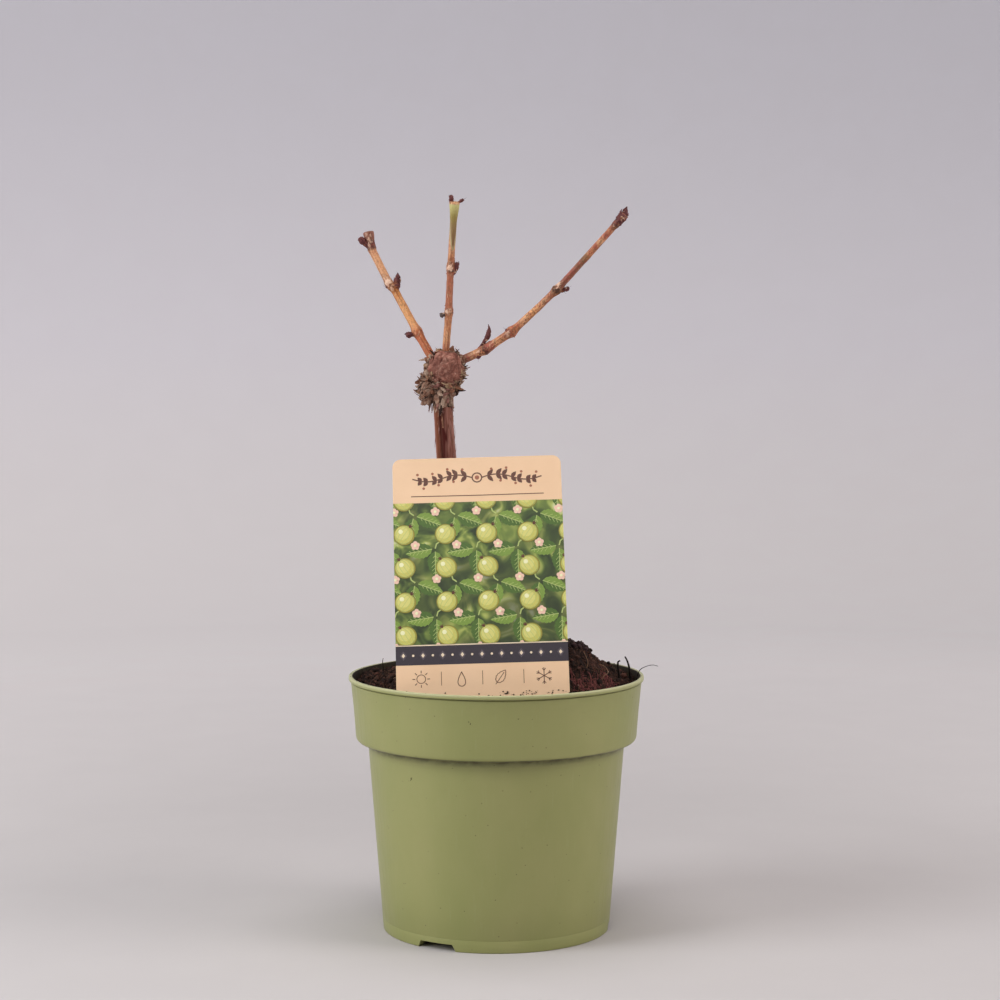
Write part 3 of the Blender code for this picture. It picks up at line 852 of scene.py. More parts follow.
def crumb(place, size, lump):
    # a lump squashed, turned and dented at random
    points, faces = lump
    squash = Vector([size * draw.uniform(0.6, 1.15) for _ in range(3)])
    turn = Matrix.Rotation(anyTurn(), 3, anyWay())
    seed = draw.uniform(0, 50)
    made = []
    for point in points:
        dent = 1 + 0.45 * noise.noise(point * 1.6 + Vector((seed, seed, 0)))
        squashed = Vector(part * share for part, share in zip(point, squash))
        made.append(place + turn @ (squashed * dent))
    return made, faces


def soilSpot(inner=0.0, outer=soil["reach"]):
    # a place on the soil, as dense near the wall as at the middle
    radius = math.sqrt(draw.uniform(inner ** 2, outer ** 2))
    return onCircle(radius, anyTurn())


def spotRound(centre, spread):
    x, y = onCircle(spread, anyTurn())
    return centre.x + x, centre.y + y


def oneOf(weights):
    # a finish's place in its list, drawn by weight
    return draw.choices(range(len(weights)), weights)[0]


def onClod():
    return spotRound(soil["clodCentre"], soil["clodRadius"] * math.sqrt(draw.random()))


def byTrunk():
    return spotRound(soil["heapCentre"], draw.uniform(*soil["heapRing"]))


def makeCrumbs():
    finishes = looseFinishes(soil["tones"])
    big, small = Heap(), Heap()
    groups = (  # count, spot, sizes, shrinking, lifts in sizes, weights of the finishes
        (soil["bigCrumbs"], soilSpot, (0.0008, 0.0022), (0.6, 1.0), (-0.2, 0.5), (4, 5, 2)),
        (soil["clodCrumbs"], onClod, (0.0007, 0.0017), None, (-0.3, 0.9), (3, 0, 0, 0, 4)),
        (soil["heapCrumbs"], byTrunk, (0.0006, 0.0017), None, (-0.2, 0.6), (4, 5, 2)),
    )
    for count, spot, sizes, shrinking, lifts, weights in groups:
        for _ in range(count):
            x, y = spot()
            size = draw.uniform(*sizes) * (draw.uniform(*shrinking) if shrinking else 1)
            place = onSoil(x, y, size * draw.uniform(*lifts))
            big.add(*crumb(place, size, bigLump), oneOf(weights))
    for _ in range(soil["smallCrumbs"]):
        x, y = soilSpot()
        size = draw.uniform(0.00035, 0.001)
        small.add(*crumb(onSoil(x, y, size * 0.3), size, smallLump), oneOf((4, 5, 3)))
    for _ in range(soil["flecks"]):
        place = onSoil(*soilSpot(), 0.0003)
        small.add(*crumb(place, draw.uniform(0.0003, 0.0006), smallLump), 3)
    addHeap("soilLumps", big, finishes, 60)
    addHeap("soilCrumbs", small, finishes, 60)


def creeper(x, y, heading, length, radius, lift):
    # a fibre that lies along the soil, arching a little above it
    rings, before, steps = [], None, soil["creeperSteps"]
    bend = draw.gauss(0, 0.1)
    for step in range(steps + 1):
        share = step / steps
        point = Vector((x, y, lumpyHeight(x, y) + radius + lift * math.sin(math.pi * share)))
        along = (point - before).normalized() if before else Vector(onCircle(1, heading, 0))
        rings.append(ringRound(point, along, [radius * (1 - 0.5 * share)] * 4))
        before = point
        heading += bend + draw.gauss(0, 0.16)
        x += math.cos(heading) * length / steps
        y += math.sin(heading) * length / steps
    return tube(rings)


def makeFibres():
    heap = Heap()
    for _ in range(soil["fibres"]):  # short ones that stand up
        x, y = soilSpot()
        reddish = bellCurve((Vector((x, y)) - soil["redCentre"]).length, soil["redReach"])
        heading = direction(draw.uniform(35, 96), draw.uniform(0, 360))
        kind = oneOf((3, 4, 0.2 + 5 * reddish, 0.2))
        length, radius = draw.uniform(*soil["fibreLengths"]), draw.uniform(*soil["fibreRadii"])
        heap.add(*fibre(onSoil(x, y, 0.0002), heading, length, radius, 0.34, 0.2, 6, 3), kind)
    for _ in range(soil["creepers"]):  # long ones that point away from the mound
        x, y = soilSpot(*soil["creeperRing"])
        outwards = math.atan2(y - soil["moundCentre"].y, x - soil["moundCentre"].x)
        kind = oneOf((4, 6, 0.3, 0.15))
        heading, length = outwards + draw.gauss(0, 1.2), draw.uniform(*soil["creeperLengths"])
        radius, lift = draw.uniform(*soil["creeperRadii"]), draw.uniform(0.0, 0.001)
        heap.add(*creeper(x, y, heading, length, radius, lift), kind)
    for _ in range(soil["redCreepers"]):  # a patch at the front right
        along = draw.random()
        turn, reach = math.radians(-40 + 34 * along), 0.0655 + 0.0135 * along - draw.uniform(-0.001, 0.009)
        heading, length = turn + 1.4 + draw.gauss(0, 0.8), draw.uniform(*soil["creeperLengths"])
        radius, lift = draw.uniform(*soil["redRadii"]), draw.uniform(0.0001, 0.001)
        heap.add(*creeper(*onCircle(reach, turn), heading, length, radius, lift), 2)
    addHeap("soilFibres", heap, looseFinishes(soil["fibreTones"]), 80)


def smoothPath(route, steps):
    # points along a smooth curve through a route's own points
    ends = [2 * route[0] - route[1], *route, 2 * route[-1] - route[-2]]
    path = []
    for a, b, c, d in zip(ends, ends[1:], ends[2:], ends[3:]):
        for step in range(steps):
            t = step / steps
            path.append(0.5 * (2 * b + (c - a) * t + (2 * a - 5 * b + 4 * c - d) * t ** 2
                               + (3 * b - a - 3 * c + d) * t ** 3))
    return [*path, route[-1].copy()]


def makeStrands():
    # dark roots and stalks that stand above the rim at the right, and pale rootlets on the flank
    heap = Heap()
    for radius, kind, route in soil["strands"]:
        path = smoothPath([Vector(point) for point in route], 8)
        rings = []
        for k, point in enumerate(path):
            along = (path[min(k + 1, len(path) - 1)] - path[max(k - 1, 0)]).normalized()
            share = k / (len(path) - 1)
            knobs = 1 + 0.16 * ripple(k * 0.6, radius * 9000, 2)
            rings.append(ringRound(point, along, [radius * (1 - 0.45 * share) * knobs] * 7))
        heap.add(*tube(rings), kind)
    addHeap("looseStrands", heap, looseFinishes(soil["strandTones"]), 60)


makeSoilBed()
makeCrumbs()
makeFibres()
makeStrands()

# Trunk: short, grooved, with long strips of bark

trunk = {
    "foot": Vector((-0.0268, 0.0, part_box("trunk")[0].z)),
    "neck": Vector((-0.0341, 0.0008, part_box("trunk")[1].z)),
    "footRadius": 0.0076,
    "neckRadius": 0.0061,
    "sway": 0.001,
    "flare": 0.38,
    "flareHeight": 0.014,
    "flareLobes": 5,
    "grooveDepth": 0.17,
    "grooveHeading": 236,
    "grooveTwist": 15,
    "grooveWidth": 26,
    "warmHeading": 208,
    "sides": 110,
    "rings": 240,
    "buried": 0.006,
    "strips": 100,
    "stripLengths": (0.004, 0.012),
    "stripWidths": (0.0008, 0.0022),
    "stripWeights": (1, 6, 1, 0, 6),
}


def trunkRadius(share, turn):
    # the same taper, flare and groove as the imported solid
    radius = trunk["footRadius"] + (trunk["neckRadius"] - trunk["footRadius"]) * share
    height = share * (trunk["neck"].z - trunk["foot"].z)
    flare = trunk["flare"] * math.exp(-height / trunk["flareHeight"])
    lobes = 0.65 + 0.35 * math.cos(trunk["flareLobes"] * turn + 0.6)
    fromGroove = turnBetween(turn, trunk["grooveHeading"] + trunk["grooveTwist"] * share)
    groove = trunk["grooveDepth"] * bellCurve(fromGroove, math.radians(trunk["grooveWidth"]))
    oval = 0.05 * math.cos(2 * turn + 1.1 + 1.5 * share)
    return radius * (1 + flare * lobes - groove + oval)


def trunkCentre(share):
    centre = trunk["foot"].lerp(trunk["neck"], share)
    centre.x += trunk["sway"] * math.sin(math.pi * share)
    centre.y -= trunk["sway"] * math.sin(fullTurn * share)
    return centre


def barkRelief(share, turn):
    # long plates with dark cracks between them, in metres, and how deep in a crack a point lies
    z = share * 26
    wobble = 0.5 * ripple(math.cos(turn), math.sin(turn), z * 0.35)
    x, y = 2.6 * math.cos(turn + 0.25 * wobble), 2.6 * math.sin(turn + 0.25 * wobble)
    plates = ripple(x, y, z * 0.22)
    cracks = bellCurve(plates, 0.075)
    fine = ripple(x * 3.4, y * 3.4, z * 0.6)
    grain = ripple(x * 9, y * 9, z * 1.1)
    return 0.00055 * plates + 0.0002 * fine + 0.00008 * grain - 0.00036 * cracks, cracks


def trunkFinish():
    finish, tree, shader = newFinish("trunkBark", 0.82, 0.18)
    along = cloudy(tree, 1.5, (1, 1, 12), 5, 0.6)
    base = stops(tree, along, (0.25, (114, 66, 53)), (0.44, (146, 94, 80)),
                 (0.6, (170, 120, 108)), (0.8, (188, 146, 132)))
    warm = mixed(tree, along, (96, 46, 28), (162, 100, 72))
    base = mixed(tree, mask(tree, "warm"), base, warm)
    threads = cloudy(tree, 0.35, (1, 1, 22), 3, 0.5)
    base = laidOver(tree, base, (70, 36, 28), threads, 0.54, 0.74, 0, 0.45)
    scales = between(tree, cloudy(tree, 4.0, (1, 1, 2.5), 4), 0.56, 0.7, 0, 0.4)
    base = mixed(tree, scales, base, (156, 126, 112))
    # painted shade: the cracks and the groove are darkened through the deep mask
    base = mixed(tree, mask(tree, "deep"), base, (66, 15, 8))
    relief = bumped(tree, threads, 0.16, 0.9)
    relief = bumped(tree, cloudy(tree, 0.3, (1, 1, 3)), 0.08, 0.8, relief)
    wire(tree, shader, Base_Color=base, Normal=relief)
    return finish


def makeTrunk():
    rings, deep, warm = [], [], []
    lowest = -trunk["buried"] / (trunk["neck"].z - trunk["foot"].z)
    for share in (lowest, *(k / trunk["rings"] for k in range(trunk["rings"] + 1))):
        centre = trunkCentre(share)
        ring = []
        for turn in turnsRound(trunk["sides"]):
            relief, crack = barkRelief(share, turn)
            fromGroove = turnBetween(turn, trunk["grooveHeading"] + trunk["grooveTwist"] * share)
            groove = bellCurve(fromGroove, math.radians(21))
            shade = bellCurve(fromGroove - math.radians(7), math.radians(27)) ** 0.8
            radius = trunkRadius(max(share, 0), turn) + relief * (1 - 0.5 * groove) - 0.0006 * groove
            ring.append(centre + radius * Vector(onCircle(1, turn, 0)))
            # the deep mask paints shade into the cracks and along the groove
            deep.append(min(1.0, 0.5 * crack + 0.95 * shade))
            fromWarm = turnBetween(turn, trunk["warmHeading"] + 10 * share)
            warm.append(bellCurve(fromWarm, math.radians(24)))
        rings.append(ring)
    points, faces = tube(rings)
    ends = [0.5, 0.5]
    addPiece("trunkBark", points, faces, [trunkFinish()], 70, ("trunk",),
             masks={"deep": deep + ends, "warm": warm + ends})


flakeTones = {  # of loose bark on trunk and head, dark and light
    "flakeGrey": ((130, 104, 88), (196, 168, 148)),
    "flakeBrown": ((108, 68, 50), (164, 116, 92)),
    "flakeTan": ((124, 96, 74), (184, 152, 120)),
    "flakeDark": ((34, 20, 16), (70, 46, 38)),
    "flakeMauve": ((110, 68, 60), (160, 114, 104)),
    "flakeRust": ((150, 84, 60), (212, 146, 108)),
}


def makeTrunkStrips(finishes):
    # narrow strips that lift away from the trunk, most of them under the head
    heap = Heap()
    for k in range(trunk["strips"]):
        share = draw.betavariate(1.2, 0.8) if k % 3 else draw.uniform(0.7, 0.97)
        turn = math.radians(draw.uniform(315, 395)) if k % 3 == 0 else anyTurn()
        outwards = Vector(onCircle(1, turn, 0))
        root = trunkCentre(share) + outwards * (trunkRadius(share, turn) - 0.0002)
        downwards = -1 if draw.random() < 0.7 else 1
        aside = 0.12 * draw.uniform(-1, 1) * up.cross(outwards)
        along = (up * downwards + 0.14 * outwards + aside).normalized()
        shortest, longest = trunk["stripLengths"]
        length = draw.uniform(shortest, longest) if share < 0.95 else shortest
        width = draw.uniform(*trunk["stripWidths"])
        heap.add(*scrap(root, along, outwards, length, width, -draw.uniform(-0.05, 0.35), 0.00016),
                 oneOf(trunk["stripWeights"]))
    addHeap("trunkStrips", heap, finishes, 50)


makeTrunk()
sharedFlakes = looseFinishes(flakeTones, 1.1)
makeTrunkStrips(sharedFlakes)

# Head: the swollen knob where the old canes were cut away year after year

head = {
    "centre": Vector((-0.034, 0.001, 0.356)),
    "lobes": (  # centre and half-sizes of the body, front pad, shoulder, left lobe and neck
        ((-0.0335, 0.0015, 0.3588), (0.012, 0.0122, 0.013)),
        ((-0.0315, -0.005, 0.3615), (0.0098, 0.0095, 0.0108)),
        ((-0.0285, 0.001, 0.364), (0.008, 0.008, 0.0082)),
        ((-0.0443, 0.002, 0.347), (0.006, 0.0072, 0.0104)),
        ((-0.0342, 0.0008, 0.345), (0.0073, 0.0072, 0.015)),
        ((-0.0385, 0.0, 0.3648), (0.0062, 0.007, 0.0058)),
        ((-0.0252, -0.001, 0.3598), (0.005, 0.0066, 0.0076)),
        ((-0.0302, -0.0008, 0.3512), (0.0062, 0.007, 0.0092)),
    ),
    "sharpness": 6,
    "longestReach": 0.03,
    "reachStep": 0.0002,
    "pads": (Vector((0.08, -0.92, 0.4)).normalized(), 0.94 * Vector((-0.3, 0.88, 0.3)).normalized()),
    "padSpread": 0.5,
    "shards": 60,
    "shardSizes": (0.0007, 0.002),
    "shardWeights": (6, 4, 2, 3, 3),
    "flakes": 150,
    "flakeLengths": (0.0016, 0.0052),
    "flakeWidths": (0.0009, 0.0036),
    "flakeWeights": (6, 4, 3, 3, 2),
    "hairs": 60,
    "hairLengths": (0.002, 0.005),
    "hairWeights": (4, 3, 3, 4, 1),
    "skirt": 46,
    "skirtLengths": (0.0025, 0.006),
    "skirtWidths": (0.001, 0.0028),
    "skirtWeights": (3, 4, 1, 3, 5),
    "curls": (  # root, way, outer side, length, width, curl, finish
        ((-0.0348, -0.0102, 0.3522), (0.8, -0.25, -0.45), (0, -1, 0.4), 0.006, 0.0009, 1.0, 2),
        ((-0.0325, -0.0106, 0.3508), (0.9, -0.2, 0.25), (0, -1, 0.3), 0.0056, 0.0008, -0.9, 2),
        ((-0.03, -0.0104, 0.3515), (0.5, -0.5, -0.75), (0.2, -1, 0.1), 0.0062, 0.0017, 1.3, 1),
        ((-0.029, -0.0098, 0.35), (0.6, -0.4, -0.35), (0.2, -1, 0.1), 0.0052, 0.0008, 0.9, 2),
        ((-0.0352, -0.0095, 0.349), (0.7, -0.3, -0.65), (0, -1, 0.2), 0.006, 0.0018, 1.2, 0),
        ((-0.033, -0.0098, 0.3475), (0.9, -0.3, 0.1), (0, -1, 0.1), 0.0058, 0.001, -1.0, 4),
        ((-0.037, -0.0085, 0.3455), (0.75, -0.45, -0.5), (0, -1, 0.3), 0.0064, 0.002, 1.2, 0),
        ((-0.0345, -0.0088, 0.344), (0.9, -0.3, 0.2), (0, -1, -0.3), 0.005, 0.0018, -1.0, 4),
        ((-0.0262, -0.005, 0.35), (0.85, -0.2, -0.65), (0.6, -0.6, 0.4), 0.0065, 0.0032, 0.7, 1),
        ((-0.0255, -0.004, 0.3475), (0.9, -0.1, -0.25), (0.5, -0.5, 0.7), 0.0062, 0.0024, 0.5, 3),
        ((-0.0232, -0.004, 0.3622), (0.9, -0.2, -0.05), (0.3, -0.4, 1.0), 0.0052, 0.0026, 0.4, 3),
        ((-0.0228, -0.003, 0.3602), (0.95, -0.2, 0.15), (0.3, -0.4, 1.0), 0.0066, 0.0024, 0.3, 1),
        ((-0.0226, -0.004, 0.3585), (0.8, -0.3, -0.55), (0.6, -0.5, 0.4), 0.0058, 0.0034, 0.6, 0),
        ((-0.023, -0.001, 0.356), (0.8, -0.1, -0.45), (0.6, -0.5, 0.4), 0.0046, 0.0026, 0.5, 3),
        ((-0.0262, -0.004, 0.37), (0.45, -0.2, 0.85), (0.9, -0.2, 0.1), 0.0042, 0.003, 0.5, 3),
        ((-0.0285, -0.006, 0.372), (0.25, -0.3, 0.95), (0.3, -0.9, 0.1), 0.004, 0.0034, 0.5, 1),
        ((-0.0345, -0.0035, 0.369), (-0.35, -0.5, 0.85), (-0.2, -0.9, -0.4), 0.0052, 0.003, 0.5, 5),
        ((-0.0318, -0.003, 0.369), (0.1, -0.5, 0.9), (0.1, -0.9, -0.4), 0.005, 0.0026, 0.4, 5),
        ((-0.0365, -0.003, 0.369), (-0.7, -0.3, 0.75), (-0.3, -0.8, 0.1), 0.0046, 0.0024, 0.6, 5),
        ((-0.0395, -0.006, 0.3695), (-0.5, -0.2, 0.85), (-0.7, -0.5, -0.3), 0.0045, 0.0028, 0.6, 3),
        ((-0.0455, -0.003, 0.3665), (-0.9, -0.1, 0.15), (-0.1, -0.5, 0.9), 0.004, 0.0024, -0.6, 0),
    ),
}


def headReach(rays):
    # distance from the head's centre to its surface along many rays at once
    reach = np.full(len(rays), head["longestReach"])
    step, centre = head["reachStep"], np.array(head["centre"])
    for _ in range(int(head["longestReach"] / step)):
        points = centre + rays * reach[:, None]
        total = np.zeros(len(rays))
        for middle, half in head["lobes"]:
            size = (((points - np.array(middle)) / np.array(half)) ** 2).sum(axis=1)
            total += np.exp(head["sharpness"] * (1 - size))
        reach = np.where(total < 1, reach - step, reach)
    return reach


def padShare(ray):
    # 1 on the smoother pads of old wood, 0 away from them, with a ragged border
    ragged = 0.55 * noise.noise(ray * 2.2 + Vector((9, 2, 4))) + 0.25 * noise.noise(ray * 6)
    facing = max(ray.dot(way) for way in head["pads"])
    return smoothStep((facing + ragged - head["padSpread"]) / 0.24)


def facets(ray, scale, seed):
    # flat chips of wood: the tilt of the nearest one, and how close its border is
    here = ray * scale + Vector((seed, 0, 0))
    far, near = noise.voronoi(here)
    tilt = noise.noise_vector(near[0] * 5.3)
    return (here - near[0]).dot(tilt), bellCurve(far[1] - far[0], 0.1)


def headRelief(ray):
    # rise of the bark in metres, rugged round the pads and smooth on them, and how dark it is: painted
    # shade in the gaps between chips, in hollows and along seams and creases, with darker patches at random
    pad = padShare(ray)
    rugged = noise.turbulence(ray * 4.5 + Vector((3, 1, 7)), 5, True)
    chip, gap = facets(ray, 4.2, 3.0)
    fineChip, fineGap = facets(ray, 9.0, 11.0)
    rough = 0.0022 * (rugged - 0.45) + 0.003 * chip + 0.0011 * fineChip - 0.0011 * gap - 0.0004 * fineGap
    swirl = ray * 1.5 + 0.55 * noise.noise_vector(ray * 1.3 + Vector((4, 8, 2)))
    broad, seam = facets(swirl, 1.5, 21.0)
    crease = bellCurve(abs(noise.noise(swirl * 2.4 + Vector((6, 1, 9)))), 0.06)
    smooth = 0.0028 * broad + 0.00025 * fineChip - 0.0003 * seam - 0.0002 * crease
    smooth += 0.0024 * noise.noise(ray * 2.2 + Vector((1, 5, 3))) + 0.0005 * noise.noise(ray * 9)
    dark = (0.75 * gap + 0.35 * fineGap + 1.6 * max(0.0, 0.33 - rugged)) * (1 - pad)
    shadow = smoothStep(0.5 + 2.2 * noise.noise(ray * 1.9 + Vector((7, 2, 5))))
    dark += (0.16 * seam + 0.1 * crease + 0.06 * fineGap + 0.22 * shadow) * pad
    return rough * (1 - pad) + smooth * pad, min(1.0, dark)


def headFinish():
    finish, tree, shader = newFinish("headBark", 0.82, 0.28)
    patches = cloudy(tree, 2.6, detail=6, rough=0.65, warp=0.6)
    shaggy = stops(tree, patches, (0.28, (96, 64, 50)), (0.45, (150, 110, 90)),
                   (0.6, (182, 150, 130)), (0.76, (206, 180, 160)))
    shell = stops(tree, cloudy(tree, 4.2, detail=6, rough=0.6, warp=0.8), (0.3, (98, 52, 43)),
                  (0.46, (140, 85, 72)), (0.58, (166, 111, 95)), (0.72, (206, 158, 140)))
    veins = between(tree, cloudy(tree, 1.3, (1, 3, 1), 4, 0.6, 1.5), 0.56, 0.7, 0, 0.5)
    shell = mixed(tree, veins, shell, (208, 166, 150))
    base = mixed(tree, mask(tree, "pad"), shaggy, shell)
    # painted shade in the gaps, hollows, seams and creases, with darker patches at random
    base = mixed(tree, mask(tree, "deep"), base, (28, 16, 12))
    relief = bumped(tree, patches, 0.5, 0.8)
    relief = bumped(tree, cloudy(tree, 0.4, detail=4, rough=0.7), 0.14, 0.9, relief)
    wire(tree, shader, Base_Color=base, Normal=relief)
    return finish


def makeHead(finishes):
    bm = bmesh.new()
    bmesh.ops.create_icosphere(bm, subdivisions=7, radius=1)
    rays = np.array([vert.co.normalized() for vert in bm.verts])
    faces = [tuple(vert.index for vert in face.verts) for face in bm.faces]
    bm.free()
    reach = headReach(rays)
    points, deep, pad = [], [], []
    for ray, far in zip(rays, reach):
        ray = Vector(ray)
        relief, dark = headRelief(ray)
        points.append(head["centre"] + ray * (far + relief))
        deep.append(dark)
        pad.append(padShare(ray))
    addPiece("headKnob", points, faces, [headFinish()], 70, ("head",),
             masks={"deep": deep, "pad": pad})
    makeHeadFlakes(finishes)


def headSpots(count, lowest):
    # rays to places on the head outside the pad, with their distances
    ways = []
    while len(ways) < count:
        ray = anyWay().normalized()
        if padShare(ray) < 0.35 and ray.z > lowest:
            ways.append(ray)
    return list(zip(ways, headReach(np.array(ways))))


def makeHeadFlakes(finishes):
    heap = Heap()
    for ray, distance in headSpots(head["shards"], -0.8):
        place = head["centre"] + ray * (distance + 0.0001)
        heap.add(*crumb(place, draw.uniform(*head["shardSizes"]), bigLump), oneOf(head["shardWeights"]))
    for k, (ray, distance) in enumerate(headSpots(head["flakes"] + head["hairs"], -0.75)):
        root = head["centre"] + ray * (distance - 0.0003)
        side = up.cross(ray).normalized()
        spread = draw.uniform(-1.3, 1.3)
        along = ray.cross(side) * math.cos(spread) + side * math.sin(spread)
        along = (along + ray * draw.uniform(0.05, 0.75)).normalized()
        outwards = (ray - along * ray.dot(along)).normalized()
        if k < head["flakes"]:
            length, width = draw.uniform(*head["flakeLengths"]), draw.uniform(*head["flakeWidths"])
            curl, tip = draw.uniform(-1.2, 1.3), draw.uniform(0.05, 0.8)
            heap.add(*scrap(root, along, outwards, length, width, curl, 0.00022, 0.35, tip),
                     oneOf(head["flakeWeights"]))
        else:
            length = draw.uniform(*head["hairLengths"])
            heap.add(*fibre(root, along, length, 0.0001, 0.25, 0, 6, 4), oneOf(head["hairWeights"]))
    rays = [direction(180 - draw.uniform(14, 27), draw.uniform(0, 360)) for _ in range(head["skirt"])]
    for ray, distance in zip(rays, headReach(np.array(rays))):
        # torn bark that hangs over the trunk's top
        root = head["centre"] + ray * (distance - 0.0003)
        outwards = Vector((ray.x, ray.y, 0)).normalized()
        side = up.cross(outwards)
        along = (0.28 * draw.random() * outwards + 0.35 * draw.uniform(-1, 1) * side - up).normalized()
        length, width = draw.uniform(*head["skirtLengths"]), draw.uniform(*head["skirtWidths"])
        curl, tip = draw.uniform(-0.3, 0.5), draw.uniform(0.1, 0.7)
        heap.add(*scrap(root, along, outwards, length, width, curl, 0.0002, 0.35, tip),
                 oneOf(head["skirtWeights"]))
    for place, way, outwards, length, width, curl, tone in head["curls"]:
        way, outwards = Vector(way).normalized(), Vector(outwards)
        outwards = (outwards - way * outwards.dot(way)).normalized()
        heap.add(*scrap(Vector(place), way, outwards, length, width, curl, 0.00025, 0.15, 0.35, 9), tone)
    addHeap("headFlakes", heap, finishes, 50)


makeHead(sharedFlakes)

# Canes: one-year wood with swollen nodes, leaf scars, buds and cut tips

caneShape = {
    "nodeReach": 0.0034,
    "tipReach": 0.007,
    "sides": 44,
    "step": 0.00042,
    "ease": 0.0026,
    "warts": 11,
    "wartSizes": (0.00022, 0.00055),
    "wartWeights": (3, 3, 3, 2, 2),
    "strips": 9,
    "stripLengths": (0.003, 0.008),
    "stripWidths": (0.0004, 0.0009),
    "stripWeights": (3, 0, 4, 0, 1),
    "budSteps": 30,
    "budSides": 18,
    "scarLumps": 34,
    "scarRadius": 0.0019,
    "tip": ((0.93, 0.0001), (0.86, -0.00005), (0.5, -0.0001), (0.34, -0.00045)),  # width, lift of the cut
    "greenHeading": 288,
    "greenEnd": 0.1,
    "greenTones": (  # distance and tone of the unripe wood
        (0.07, (112, 66, 42)), (0.079, (130, 98, 64)), (0.088, (142, 116, 72)),
        (0.093, (150, 132, 68)), (0.1, (200, 190, 126)),
    ),
}

barkTones = {
    "umber": (112, 70, 50),
    "rust": (190, 108, 68),
    "amber": (198, 124, 58),
    "orange": (228, 164, 108),
    "tan": (222, 163, 120),
    "rose": (184, 113, 83),
    "clay": (202, 136, 94),
    "wine": (94, 42, 36),
    "berry": (170, 88, 74),
    "plum": (150, 97, 80),
    "straw": (182, 162, 110),
    "olive": (112, 77, 47),
    "cream": (240, 200, 150),
}

